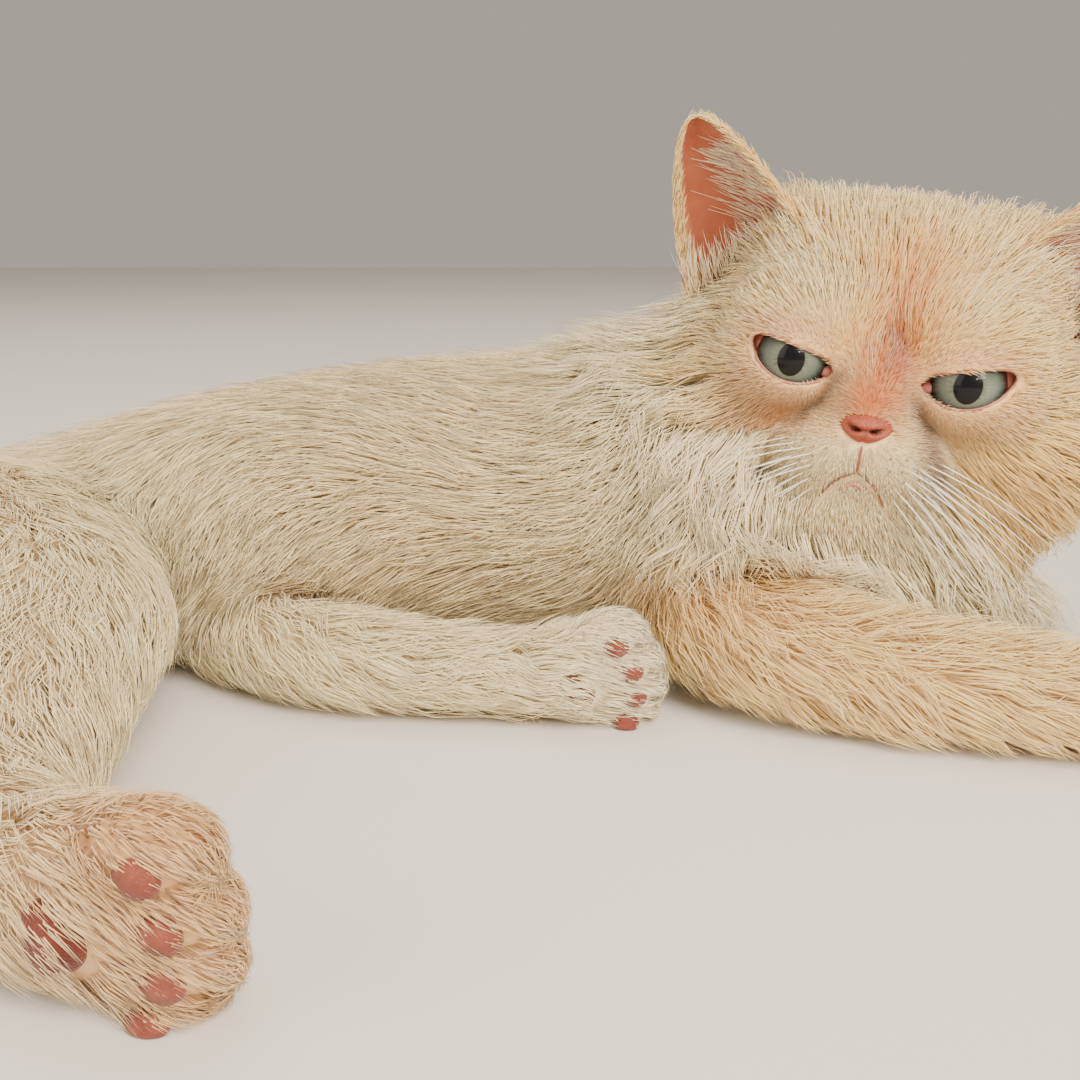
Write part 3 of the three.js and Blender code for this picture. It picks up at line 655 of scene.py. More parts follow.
def piece(name, points, faces, material, tint=None, uv=None, slot="coat", replaced=()):
    """A mesh from arrays, in metres, riding on the body, with a map from each point's place on a
    flat sheet, and a colour at each point where they are given."""
    mesh = bpy.data.meshes.new(name)
    mesh.from_pydata(np.asarray(points) * MM, [], faces if isinstance(faces, list) else np.asarray(faces))
    mesh.polygons.foreach_set("use_smooth", np.ones(len(mesh.polygons), bool))
    if tint is not None:
        colours = np.ones((len(points), 4), np.float32)
        colours[:, :3] = tint
        mesh.attributes.new("tint", "FLOAT_COLOR", "POINT").data.foreach_set("color", colours.ravel())
    if uv is None:
        uv = points[:, [0, 2]] / SHEET
    corner = np.zeros(len(mesh.loops), np.int32)
    mesh.loops.foreach_get("vertex_index", corner)
    layer = mesh.uv_layers.new(name="OFBake")
    layer.data.foreach_set("uv", np.asarray(uv, np.float32)[corner].ravel())
    mesh.update()
    mesh.materials.append(material)
    made = bpy.data.objects.new(name, mesh)
    bpy.context.scene.collection.objects.link(made)
    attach(made, "root")
    if replaced:
        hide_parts(*replaced)
    return made


def lofted(rings):
    """Quads between rings of equally many points, with a fan over both ends."""
    rings = np.asarray(rings, float)
    count, sides = rings.shape[:2]
    points = np.vstack([rings.reshape(-1, 3), rings[0].mean(0)[None], rings[-1].mean(0)[None]])
    r, k = np.meshgrid(np.arange(count - 1), np.arange(sides), indexing="ij")
    a = (r * sides + k).ravel()
    b = (r * sides + (k + 1) % sides).ravel()
    faces = [tuple(face) for face in np.stack([a, b, b + sides, a + sides], 1).tolist()]
    ring = np.arange(sides)
    last = (count - 1) * sides
    faces += [(count * sides, (k + 1) % sides, k) for k in ring.tolist()]
    faces += [(count * sides + 1, last + k, last + (k + 1) % sides) for k in ring.tolist()]
    return points, faces


def joined(parts):
    """Several meshes, each as points and faces, as one."""
    points = []
    faces = []
    start = 0
    for part_points, part_faces in parts:
        points.append(part_points)
        faces += [tuple(start + i for i in face) for face in part_faces]
        start += len(part_points)
    return np.vstack(points), faces


def cord(path, radii, sides=8):
    """A round tube: rings of a given radius about a path, square to it."""
    path = np.asarray(path, float)
    run = unit(np.gradient(path, axis=0))
    side = unit(np.cross(run, [0.13, 0.31, 0.94]))
    up = np.cross(run, side)
    angle = np.arange(sides) / sides * 2 * math.pi
    radii = np.broadcast_to(radii, len(path))[:, None, None]
    rings = path[:, None] + radii * (
        np.cos(angle)[None, :, None] * side[:, None] + np.sin(angle)[None, :, None] * up[:, None]
    )
    return lofted(rings)


def globe(rows, sides):
    """Points of a ball of radius 1 as three arrays, in rings round z."""
    theta = (np.arange(rows) + 0.5)[:, None] / rows * math.pi
    phi = np.arange(sides) / sides * 2 * math.pi
    return np.sin(theta) * np.cos(phi), np.sin(theta) * np.sin(phi), np.cos(theta) + 0 * phi


def round_ball(x, y, z):
    """The share of a form that is left as it is."""
    return np.ones((*np.shape(x), 1))


def dome(centre, radii, axes, shape=round_ball, rows=20, sides=28):
    """An ellipsoid about three axes, its points moved in or out by the share that the shape gives."""
    ball = globe(rows, sides)
    local = np.stack(ball, 2) * np.asarray(radii, float) * shape(*ball)
    points, faces = lofted(local @ np.asarray(axes, float) + centre)
    return points, [face[::-1] for face in faces]


def on_face(a, c, lift=0.0):
    """The point of the face straight behind (a, c) in the head's frame, lifted off it forwards."""
    a = np.asarray(a, float)
    low = np.full(a.shape, -75.0)
    high = np.full(a.shape, -12.0)
    for _ in range(24):
        b = (low + high) / 2
        points = from_head(np.stack([a, b, c + 0 * a], -1))
        inside = sampled(points.reshape(-1, 3)).reshape(a.shape) < 0
        high = np.where(inside, b, high)
        low = np.where(inside, low, b)
    return np.stack([a, low - lift, c + 0 * a], -1)


# Finishes

class Value:
    """A socket that carries a number, with the usual signs for its Math nodes."""

    def __init__(self, finish, socket):
        self.finish = finish
        self.socket = socket

    def step(self, operation, first, second):
        node = self.finish.node("ShaderNodeMath", {"operation": operation}, {0: first, 1: second})
        return Value(self.finish, node.outputs[0])

    def __add__(self, other):
        return self.step("ADD", self, other)

    def __radd__(self, other):
        return self.step("ADD", other, self)

    def __sub__(self, other):
        return self.step("SUBTRACT", self, other)

    def __mul__(self, other):
        return self.step("MULTIPLY", self, other)

    def __rmul__(self, other):
        return self.step("MULTIPLY", other, self)

    def __truediv__(self, other):
        return self.step("DIVIDE", self, other)

    def __pow__(self, other):
        return self.step("POWER", self, other)


class Finish:
    """A material of one shader, whose nodes are made by one method."""

    def __init__(self, name, **fixed):
        self.material = bpy.data.materials.new(name)
        self.material.use_nodes = True
        self.tree = self.material.node_tree
        self.shader = self.tree.nodes["Principled BSDF"]
        for key, value in fixed.items():
            self.input_of(key).default_value = value

    def input_of(self, key):
        """The shader's own socket for a name in small letters."""
        return self.shader.inputs[key.replace("_", " ").title().replace("Ior", "IOR")]

    def node(self, kind, settings=None, sockets=None):
        """A node of a type, its settings made first, then its sockets' values or links."""
        made = self.tree.nodes.new(kind)
        for key, value in (settings or {}).items():
            if key == "stops":
                self.stops(made, value)
            else:
                setattr(made, key, value)
        for key, value in (sockets or {}).items():
            if isinstance(value, Value):
                self.tree.links.new(value.socket, made.inputs[key])
            elif isinstance(value, bpy.types.NodeSocket):
                self.tree.links.new(value, made.inputs[key])
            else:
                made.inputs[key].default_value = value
        return made

    def stops(self, ramp, values):
        """Sets a ramp's stops from places and colours."""
        elements = ramp.color_ramp.elements
        while len(elements) < len(values):
            elements.new(0.5)
        for element, (place, colour) in zip(elements, values):
            element.position = place
            element.color = (*colour, 1)

    def place(self):
        """Object coordinates, in metres."""
        return self.node("ShaderNodeTexCoord").outputs["Object"]

    def noise(self, scale, detail=3, vector=None):
        """Soft noise from 0 to 1, of a scale to the metre."""
        sockets = {"Vector": vector or self.place(), "Scale": scale, "Detail": detail}
        return Value(self, self.node("ShaderNodeTexNoise", {}, sockets).outputs[0])

    def cells(self, scale):
        """Distance to the nearest of scattered points, of a scale to the metre."""
        node = self.node("ShaderNodeTexVoronoi", {}, {"Vector": self.place(), "Scale": scale})
        return Value(self, node.outputs["Distance"])

    def ramp(self, value, *stops):
        """A colour for a number, from places and colours."""
        return self.node("ShaderNodeValToRGB", {"stops": stops}, {"Fac": value}).outputs["Color"]

    def mixed(self, factor, first, second, blend="MIX"):
        """Two colours mixed by a factor."""
        settings = {"data_type": "RGBA", "blend_type": blend}
        node = self.node("ShaderNodeMix", settings, {0: factor})
        for key, colour in ((6, first), (7, second)):
            if isinstance(colour, bpy.types.NodeSocket):
                self.tree.links.new(colour, node.inputs[key])
            else:
                node.inputs[key].default_value = (*colour, 1)
        return node.outputs[2]

    def tint(self):
        """The colour that the piece's points carry."""
        return self.node("ShaderNodeAttribute", {"attribute_name": "tint"}).outputs["Color"]

    def wear(self, **values):
        """Links what varies to the shader's own sockets."""
        for key, value in values.items():
            socket = value.socket if isinstance(value, Value) else value
            self.tree.links.new(socket, self.input_of(key))
        return self.material

    def bump(self, height, depth, strength=1.0):
        """Small relief from a height of 0 to 1 that stands for a depth in metres."""
        sockets = {"Height": height, "Distance": depth, "Strength": strength}
        self.wear(normal=self.node("ShaderNodeBump", {}, sockets).outputs["Normal"])


def coat_finish():
    """Hair that is soft and a little glossy, its colour from its points with a fine mottle."""
    finish = Finish("coat", specular_ior_level=0.25, sheen_weight=0.35, sheen_roughness=0.6)
    mottle = finish.noise(160, 4)
    colour = finish.mixed(0.35 * mottle, finish.tint(), (1.0, 0.93, 0.84), "SOFT_LIGHT")
    return finish.wear(base_color=colour, roughness=0.5 + 0.25 * finish.noise(420, 2))


def skin_finish():
    """Bare skin seen between hairs: the coat's colour, pinker, with fine pores."""
    finish = Finish("skin", specular_ior_level=0.3)
    colour = finish.mixed(0.06 + 0.14 * finish.noise(300, 3), finish.tint(), linear(222, 176, 150))
    finish.bump(finish.noise(1800, 4), 0.0002, 0.5)
    return finish.wear(base_color=colour, roughness=0.6 + 0.2 * finish.noise(700, 2))


def ear_finish():
    """Thin pink skin with a marbling of small veins and a downy surface."""
    finish = Finish(
        "ear_skin", specular_ior_level=0.3, sheen_weight=0.3,
        subsurface_weight=0.15, subsurface_radius=(0.004, 0.0015, 0.001),
    )
    vein = finish.ramp(finish.noise(190, 5), (0.35, (0.86, 0.7, 0.66)), (0.6, (1, 1, 1)))
    finish.bump(finish.noise(1400, 4), 0.00025, 0.6)
    colour = finish.mixed(0.7, finish.tint(), vein, "MULTIPLY")
    return finish.wear(base_color=colour, roughness=0.5 + 0.2 * finish.noise(500, 2))


def leather_finish():
    """Nose leather: dusty pink, with pebbled grain and a slight damp gloss."""
    finish = Finish("nose_leather", specular_ior_level=0.5, coat_weight=0.15, coat_roughness=0.3)
    grain = finish.cells(2600)
    colour = finish.ramp(
        finish.noise(420, 4) * 0.7 + grain * 0.4,
        (0.2, linear(120, 50, 34)), (0.55, linear(162, 72, 48)), (0.9, linear(182, 98, 68)),
    )
    finish.bump(grain, 0.0003, 0.7)
    colour = finish.mixed(0.85, colour, finish.tint(), "MULTIPLY")
    return finish.wear(base_color=colour, roughness=0.38 + 0.2 * grain)


def pad_finish():
    """Paw pads: warm pink, mottled darker and lighter, with fine dry grain."""
    finish = Finish("pad", specular_ior_level=0.4, sheen_weight=0.15)
    grain = finish.cells(1700)
    colour = finish.ramp(
        finish.noise(260, 4),
        (0.25, linear(100, 44, 32)), (0.55, linear(134, 64, 46)), (0.85, linear(158, 86, 64)),
    )
    finish.bump(grain, 0.00035, 0.6)
    colour = finish.mixed(0.9, colour, finish.tint(), "MULTIPLY")
    return finish.wear(base_color=colour, roughness=0.55 + 0.2 * grain)


def lid_finish():
    """Damp rims of the lids and lips, pink brown."""
    finish = Finish("lid_rim", specular_ior_level=0.5, coat_weight=0.4, coat_roughness=0.25)
    mottle = finish.noise(900, 3)
    colour = finish.mixed(0.4 * mottle, finish.tint(), linear(120, 70, 58))
    finish.bump(mottle, 0.0002, 0.4)
    return finish.wear(base_color=colour, roughness=0.35 + 0.2 * mottle)


def whisker_finish():
    """White bristle, a little darker in soft patches."""
    finish = Finish("whisker", specular_ior_level=0.5)
    colour = finish.mixed(0.2 * finish.noise(500, 2), finish.tint(), linear(214, 196, 170))
    return finish.wear(base_color=colour, roughness=0.25 + 0.15 * finish.noise(300, 2))


def eye_finish():
    """An iris of grey green fibres round a dark oval pupil under a clear wet surface. The piece's map
    gives the place across the eye, 1 at the ball's edge."""
    finish = Finish("iris", specular_ior_level=0.1, coat_weight=0.6, coat_roughness=0.02, coat_ior=1.32)
    flat = finish.node("ShaderNodeUVMap", {"uv_map": "OFBake"}).outputs[0]
    split = finish.node("ShaderNodeSeparateXYZ", {}, {0: flat})
    x = Value(finish, split.outputs[0]) * 2 - 1
    z = Value(finish, split.outputs[1]) * 2 - 1
    far = (x * x + z * z) ** 0.5
    pupil = ((x / 0.36) ** 2 + (z / 0.45) ** 2) ** 0.5
    ray = far + 0.01
    sockets = {0: x / ray * 5, 1: z / ray * 5, 2: far * 1.6}
    fibre = finish.noise(2.6, 6, finish.node("ShaderNodeCombineXYZ", {}, sockets).outputs[0])
    # The iris darkens upwards by its height: painted shadow of the upper lid.
    iris = finish.ramp(
        far + (fibre - 0.5) * 0.22 - z * 0.12,
        (0.28, linear(92, 96, 78)), (0.48, linear(124, 132, 116)),
        (0.66, linear(108, 122, 116)), (0.8, linear(66, 76, 74)), (0.9, linear(20, 18, 15)),
    )
    light = finish.ramp(fibre, (0.3, (0.7, 0.72, 0.66)), (0.7, (1, 1, 1)))
    iris = finish.mixed(0.8, iris, light, "MULTIPLY")
    # Painted shadow of the upper lid: the upper part of the eye darkened further.
    shade = finish.ramp(z, (0.1, (1, 1, 1)), (0.52, (0.42, 0.42, 0.42)))
    iris = finish.mixed(1.0, iris, shade, "MULTIPLY")
    edge = finish.ramp(pupil, (0.93, (0.0, 0.0, 0.0)), (1.03, (1, 1, 1)))
    outside = finish.ramp(far, (0.86, (0.0, 0.0, 0.0)), (0.93, (1, 1, 1)))
    colour = finish.mixed(Value(finish, edge), (0.004, 0.004, 0.004), iris)
    colour = finish.mixed(Value(finish, outside), colour, linear(66, 38, 32))
    finish.bump(fibre, 0.0002, 0.2)
    return finish.wear(base_color=colour, roughness=0.3 + 0.1 * fibre)


def floor_finish():
    """A plain pale floor with a faint unevenness."""
    finish = Finish("pale_floor", specular_ior_level=0.2)
    cloud = finish.noise(3, 3)
    colour = finish.mixed(cloud, linear(222, 218, 212), linear(230, 226, 220))
    return finish.wear(base_color=colour, roughness=0.7 + 0.1 * cloud)


COAT_FINISH = coat_finish()
SKIN_FINISH = skin_finish()
EAR_FINISH = ear_finish()
LEATHER_FINISH = leather_finish()
PAD_FINISH = pad_finish()
LID_FINISH = lid_finish()
WHISKER_FINISH = whisker_finish()
EYE_FINISH = eye_finish()

# The skin

skin_places = Places(skin_points)
FLESH = [
    "head", "neck", "chest", "belly", "foreleg_right", "foreleg_left", "hindleg_right", "hindleg_left",
    "forepaw_right", "forepaw_left", "hindpaw_right", "hindpaw_left", "tail_root", "tail_tip",
]


def unwrapped(places):
    """A flat place for points of the skin: along and round their part, each part in its own block
    of a four by four sheet."""
    u = (places.owner % 4 + 0.03 + 0.93 * places.ahead) / 4
    v = (places.owner // 4 + 0.03 + 0.93 * (places.angle / (2 * math.pi) + 0.5)) / 4
    return np.stack([u, v], 1)


# The skin carries the coat's colours a little darker: painted shade of the coat over it.
piece(
    "skin", skin_points, skin_quads, SKIN_FINISH,
    markings(skin_places) * 0.95, unwrapped(skin_places), replaced=FLESH,
)


# The coat

def spread_roots(points, quads, density):
    """Points scattered evenly over quads: places at equal steps of the running total of each quad's
    area times its density, each at random inside its quad."""
    corner = points[quads]
    area = np.linalg.norm(np.cross(corner[:, 2] - corner[:, 0], corner[:, 3] - corner[:, 1]), axis=1) / 2
    total = np.cumsum(area * density[quads].mean(1))
    count = int(total[-1])
    marks = (np.arange(count) + chance.random(count)) * (total[-1] / count)
    face = np.clip(np.searchsorted(total, marks), 0, len(quads) - 1)
    u, v = chance.random((2, len(face), 1))
    c = corner[face]
    return mix(mix(c[:, 0], c[:, 1], u), mix(c[:, 3], c[:, 2], u), v)


def nearest(points, centres):
    """For each point the number of the nearest centre."""
    found = np.zeros(len(points), int)
    size = (centres**2).sum(1)
    for start in range(0, len(points), 2000):
        part = points[start:start + 2000]
        found[start:start + 2000] = np.argmin(size - 2 * part @ centres.T, 1)
    return found


def lift_at(t):
    """The share of its whole rise that a strand has reached a share t of the way along."""
    return 1 - (1 - t) ** 1.7


HANG = 0.175
HOLD = 0.85
STRIDE = 0.92
LOOSE_SHARE = 0.04


def grown(root, way, length, rise, count):
    """Paths over the skin: each goes on along the coat's lie in equal steps, bending down under its
    weight, while its height over the skin rises fast and then levels off."""
    normal = outward(root)
    path = [root - normal * 1.2]
    normals = [normal]
    point = root
    for k in range(1, count + 1):
        t = k / count
        way = way + DOWN * HANG * t
        way = unit(way - (way * normal).sum(1)[:, None] * normal * HOLD)
        step = length / count
        point = point + way * step[:, None] * STRIDE
        short = rise * lift_at(t) - sampled(point)
        normal = outward(point, 3.0)
        point = point + normal * np.clip(short, -8, step * 0.8 + 1)[:, None]
        path.append(point)
        normals.append(normal)
    return np.stack(path, 1), np.stack(normals, 1)


PATCH = 0.003


def strands(path, normals, width, root_tint, tip_tint, uv):
    """Closed, tapered strands of three sides: flat under, with a low ridge, each along its path to
    one point. Their colour goes from the root's to the tip's."""
    n = path.shape[0]
    rings = path.shape[1] - 1
    run = unit(np.gradient(path, axis=1))[:, :rings]
    side = unit(np.cross(run, normals[:, :rings]))
    roll = chance.normal(0, 0.45, (n, 1, 1))
    up = np.cross(side, run)
    side, up = (
        side * np.cos(roll) + up * np.sin(roll),
        up * np.cos(roll) - side * np.sin(roll),
    )
    t = np.arange(rings) / rings
    shape = (0.75 + 0.5 * t) * (1 - t**2.2)
    half = (width[:, None] * shape / 2)[..., None]
    middle = path[:, :rings]
    section = np.stack([middle - side * half, middle + side * half, middle + up * half * 0.5], 2)
    points = np.concatenate([section.reshape(n, -1, 3), path[:, -1:]], 1)
    per = 3 * rings + 1
    faces = [(0, 2, 1)]
    for r in range(rings - 1):
        for k in range(3):
            a = 3 * r + k
            b = 3 * r + (k + 1) % 3
            faces += [(a, b, b + 3), (a, b + 3, a + 3)]
    faces += [(3 * rings - 3 + k, 3 * rings - 3 + (k + 1) % 3, 3 * rings) for k in range(3)]
    faces = np.array(faces)[None] + (np.arange(n) * per)[:, None, None]
    share = np.append(np.repeat(t, 3), 1.0)[None, :, None]
    tint = mix(root_tint[:, None], tip_tint[:, None], share**0.8)
    across = np.append(np.tile([-0.5, 0.5, 0.0], rings), 0.0)
    patch = np.stack([across, share[0, :, 0] - 0.5], 1) * PATCH
    uvs = uv[:, None] + patch[None]
    return points.reshape(-1, 3), faces.reshape(-1, 3), tint.reshape(-1, 3), uvs.reshape(-1, 2)


def coat_piece(name, root, count, clump, firm, wave, slot):
    """Strands over the skin from their roots, in clumps of so many. They gather firmly towards the
    path of the middle strand of their clump, and each clump waves in its own way."""
    places = Places(root)
    normal = outward(root)
    length, rise, width, _ = coat_of(places, normal)
    way = lie_of(places, normal)
    n = len(root)
    length = length * chance.uniform(0.72, 1.12, n)
    rise = rise * chance.uniform(0.5, 1.05, n)
    loose = chance.random(n) < LOOSE_SHARE
    rise = np.where(loose, rise * 1.35, rise)
    width = np.where(loose, width * 0.6, width)
    way = unit(way + chance.normal(0, 0.08, (n, 3)))
    path, normals = grown(root, way, length, rise, count)
    leader = chance.permutation(n)[:max(n // clump, 1)]
    follow = leader[nearest(root, root[leader])]
    t = np.linspace(0, 1, count + 1)[None, :, None]
    gather = (firm * t**1.4) * smooth(4, 12, length)[:, None, None]
    path = mix(path, path[follow], gather)
    phase = chance.uniform(0, 2 * math.pi, n)[follow][:, None, None]
    pace = chance.uniform(0.7, 1.3, n)[follow][:, None, None]
    side = unit(np.cross(unit(np.gradient(path, axis=1)), normals))
    bend = np.minimum(length * wave, 4.5)[:, None, None]
    path = path + side * bend * np.sin(phase + 5.5 * pace * t) * t
    path = path + chance.normal(0, 1, (n, 1, 3)) * np.minimum(length * 0.018, 0.9)[:, None, None] * t
    height = path[..., 2]
    pressed = 0.5 + 0.7 * np.exp(np.minimum(height - 1.2, 0) / 3)
    path[..., 2] = np.where(height < 1.2, pressed, height)
    tone = chance.uniform(0.87, 1.06, n)[follow] * chance.uniform(0.94, 1.05, n)
    tint = markings(places)
    # Darker, warmer roots: partly the hair's own root colour, partly painted shade deep in the coat.
    root_tint = tint * np.array([0.98, 0.95, 0.9]) * tone[:, None]
    tip_tint = np.minimum(mix(tint, WHITE, 0.05) * tone[:, None] * 1.05, 0.97)
    width = width * chance.uniform(0.75, 1.25, n)
    points, faces, tints, uvs = strands(path, normals, width, root_tint, tip_tint, unwrapped(places))
    return piece(name, points, faces, COAT_FINISH, tints, uvs, slot=slot)


MOST_TRIANGLES = 190000


def coat_over(name, roots, count, clump, firm, wave, slot):
    """The coat over some roots, as many pieces as its triangles need."""
    each = 6 * count - 2
    parts = math.ceil(len(roots) * each / MOST_TRIANGLES)
    for k, part in enumerate(np.array_split(roots, parts)):
        coat_piece(f"{name}_{k + 1}" if parts > 1 else name, part, count, clump, firm, wave, slot)


NOSE_C = -8.5
MOUTH_SIDE = np.array([[0, -19.8], [3.4, -21.6], [6.4, -24.6], [8.6, -28.4]])
PHILTRUM = np.array([[0, -12.6], [0, -16.0], [0, -19.8]])


def bareness(p):
    """1 where no hair grows: on the rims of the lids, the nose, the line of the mouth and the pads."""
    q = to_head(p)
    bare = np.zeros(len(p))
    for sign in (-1, 1):
        centre, *axes = eye_frame(sign)
        x, y, z = ((q - centre) @ np.array(axes).T).T
        ball = np.linalg.norm(q - centre, axis=1)
        edge = np.maximum(z - upper_edge(x), lower_edge(x) - z)
        lid = (ball < EYE_RADIUS + 4.5) & (y > -1) & (np.abs(x) < LID_HALF + 1)
        bare = np.maximum(bare, lid * smooth(0.6, 0.3, edge))
        bare = np.maximum(bare, smooth(EYE_RADIUS + 1.4, EYE_RADIUS + 0.4, ball))
    nose = np.linalg.norm((q[:, [0, 2]] - [0, NOSE_C - 0.5]) / [5.7, 3.2], axis=1)
    front = q[:, 1] < -30
    bare = np.maximum(bare, front * smooth(1.0, 0.85, nose))
    for line in (MOUTH_SIDE, MOUTH_SIDE * [-1, 1], PHILTRUM):
        path = through(line, 6)
        away = np.linalg.norm(q[:, None, [0, 2]] - path[None], axis=2).min(1)
        bare = np.maximum(bare, front * smooth(0.9, 0.5, away))
    for name in PAWS:
        centre, size, axes = paw_frame(name)
        local = (p - centre) @ axes.T / size
        for place, radii in pad_places():
            inside = np.linalg.norm((local - place) / (np.array(radii) + [-0.4, -0.4, 3]), axis=1)
            bare = np.maximum(bare, smooth(1.0, 0.85, inside))
    return bare


skin_normal = outward(skin_points)
skin_coat = coat_of(skin_places, skin_normal)
roots = spread_roots(skin_points, skin_quads, skin_coat[3])
roots = roots[bareness(roots) < chance.random(len(roots))]
root_places = Places(roots)
names_of = np.array(PARTS)[root_places.owner]
far_share = over_face(root_places.q)[0]
on_head = names_of == "head"
on_leg = np.char.startswith(names_of, "foreleg") | np.char.startswith(names_of, "hindleg")
on_ruff = (names_of == "neck") | (names_of == "nape")
on_paw = np.char.find(names_of, "paw") > 0

# Each coat's roots, rings to a strand, strands to a clump, firmness of a clump and its wave
for coat_name, chosen, *how in (
    ("coat_face", on_head & (far_share < 0.5), 2, 5, 0.4, 0.04),
    ("coat_head", on_head & (far_share >= 0.5), 3, 9, 0.55, 0.06),
    ("coat_trunk", names_of == "trunk", 3, 20, 0.36, 0.07),
    ("coat_ruff", on_ruff, 4, 20, 0.7, 0.12),
    ("coat_legs", on_leg, 3, 14, 0.55, 0.11),
    ("coat_tail", names_of == "tail", 3, 14, 0.5, 0.09),
    ("coat_paws", on_paw, 2, 5, 0.4, 0.05),
):
    coat_over(coat_name, roots[chosen], *how, "tinted_coat" if coat_name == "coat_tail" else "coat")


# Eyes, lids, nose, mouth and whiskers

GAZE_SHARE = 0.65


def make_eye(sign, side_name):
    """A ball with a slight dome over the iris: its radius grows by a bell round the way it looks."""
    centre = from_head(EYE * [sign, 1, 1])
    ahead = from_head([0, -1, -0.1]) - SKULL_CENTRE
    look = unit(mix(ahead, unit(CAMERA - centre), GAZE_SHARE))
    up = unit(from_head([0, 0, 1]) - SKULL_CENTRE)
    side = unit(np.cross(up, look))
    up = np.cross(look, side)
    theta = np.linspace(0.02, math.pi - 0.02, 56)
    phi = np.arange(64) / 64 * 2 * math.pi
    radius = EYE_RADIUS + 0.9 * np.exp(-((theta / 0.62) ** 4))
    x = (radius * np.sin(theta))[:, None] * np.cos(phi)
    z = (radius * np.sin(theta))[:, None] * np.sin(phi)
    y = (radius * np.cos(theta))[:, None] + 0 * phi
    rings = centre + x[..., None] * side + z[..., None] * up + y[..., None] * look
    points, faces = lofted(rings)
    flat = np.stack([x, z], 2).reshape(-1, 2) / EYE_RADIUS
    back = (y.reshape(-1) < 0)[:, None]
    flat = np.where(back, unit(flat) * 0.98, flat)
    uv = np.vstack([flat, [[0, 0], [0.98, 0]]]) / 2 + 0.5
    node = f"eye_{side_name}"
    return piece(f"eyeball_{side_name}", points, faces, EYE_FINISH, uv=uv, slot="eye", replaced=[node])


def make_lids(sign, name):
    """The damp rim of the lids: a cord along the edge of the opening, on a ball just over the eye,
    and the small pink fold at the nose side."""
    centre, outward_axis, ahead, upward = eye_frame(sign)
    x = LID_HALF * 0.985 * np.sin(np.linspace(-1, 1, 32) * math.pi / 2)
    loop = np.concatenate([np.stack([x, upper_edge(x)], 1), np.stack([x, lower_edge(x)], 1)[::-1][1:-1]])
    level = EYE_RADIUS + 1.15
    forward = np.sqrt(np.maximum(level**2 - (loop**2).sum(1), 12.0))
    path = centre + loop[:, :1] * outward_axis + loop[:, 1:] * upward + forward[:, None] * ahead
    path = np.vstack([path, path[:2]])
    rim = cord(from_head(path), 0.36, 8)
    axes = np.array([outward_axis, ahead, upward]) @ HEAD_TURN.T
    lining = dome(from_head(centre), [12.8, 6.0, 8.6], axes, rows=20, sides=32)
    corner = centre - 10.2 * outward_axis + 0.2 * upward + 3.6 * ahead
    fold = dome(from_head(corner), [2.0, 1.5, 1.7], axes, rows=12, sides=16)
    points, faces = joined([rim, lining, fold])
    tint = np.repeat(linear(184, 122, 104)[None], len(points), 0)
    # The lining's darker pink brown is partly its own colour, partly painted shade in the eye's corners.
    tint[len(rim[0]):] = linear(150, 86, 78)
    tint[-len(fold[0]):] = linear(204, 120, 112)
    return piece(name, points, faces, LID_FINISH, tint)


def nose_shape(x, y, z):
    """Shares in three directions: wider over the nostrils than under them, and pulled in along a
    groove down the middle and along a curved dent for each nostril."""
    wide = 1 + 0.28 * z - 0.12 * z * z
    x = x * wide
    share = 1 - 0.1 * hump(x, 0, 0.1) * smooth(0.5, -0.2, z)
    for sign in (-1, 1):
        run = (sign * x - 0.5) * 0.94 + z * 0.34
        across = -(sign * x - 0.5) * 0.34 + z * 0.94 - 0.6 * run**2
        share = share - 0.5 * hump(across, 0, 0.19) * hump(run, 0, 0.34) * (y < 0)
    return np.stack([share * wide, share, share], -1)


def make_nose():
    """Nose leather, its dents darkened as painted shade."""
    rows = 64
    sides = 96
    front = on_face(np.array(0.0), np.array(NOSE_C), 1.6)
    centre = from_head(front + [0, 3.6, 0])
    points, faces = dome(centre, [7.0, 5.2, 4.5], HEAD_TURN.T, nose_shape, rows, sides)
    share = np.append(nose_shape(*globe(rows, sides))[..., 1], [1.0, 1.0])
    # Painted shade: the dents of the nostrils and the middle groove are darkened towards deep brown.
    tint = mix(linear(60, 18, 18), np.ones(3), smooth(0.66, 0.95, share)[:, None])
    return piece(
        "nose_leather", points, faces, LEATHER_FINISH, tint, slot="nose_leather", replaced=["nose"]
    )


def make_mouth():
    """The line of the mouth: a cord down from the nose and one along each lip, with a soft pink lip
    under their meeting."""
    lower = np.array([[-3.8, -25.6], [-2.0, -24.0], [0, -23.2], [2.0, -24.0], [3.8, -25.6]])
    lines = []
    tints = []
    for line, lift, radius, colour in (
        (MOUTH_SIDE * [-1, 1], 0.75, 0.36, linear(134, 74, 56)),
        (MOUTH_SIDE, 0.75, 0.36, linear(134, 74, 56)),
        (PHILTRUM, 0.7, 0.36, linear(150, 76, 62)),
        (lower, 0.5, 0.62, linear(206, 146, 112)),
    ):
        a, c = through(line, 8).T
        taper = np.sqrt(np.maximum(1 - np.linspace(-0.97, 0.97, len(a)) ** 4, 0.05))
        made = cord(from_head(on_face(a, c, lift)), radius * taper, 8)
        lines.append(made)
        tints.append(np.repeat(colour[None], len(made[0]), 0))
    points, faces = joined(lines)
    return piece("mouth", points, faces, LID_FINISH, np.vstack(tints))


def make_dots():
    """Small dark dots in rows over the whisker pads."""
    made = []
    for sign in (-1, 1):
        for row in range(4):
            for place in range(4):
                a = sign * (8.5 + 3.4 * place + chance.normal(0, 0.3))
                c = -14.5 - 3.0 * row + 0.5 * place + chance.normal(0, 0.3)
                spot = from_head(on_face(np.array(a), np.array(c), 1.5))
                made.append(dome(spot, [0.36, 0.4, 0.42], np.eye(3), rows=6, sides=8))
    points, faces = joined(made)
    tint = np.repeat(linear(170, 132, 96)[None], len(points), 0)
    return piece("whisker_dots", points, faces, LID_FINISH, tint, points[:, [0, 2]] / (2 * SHEET))


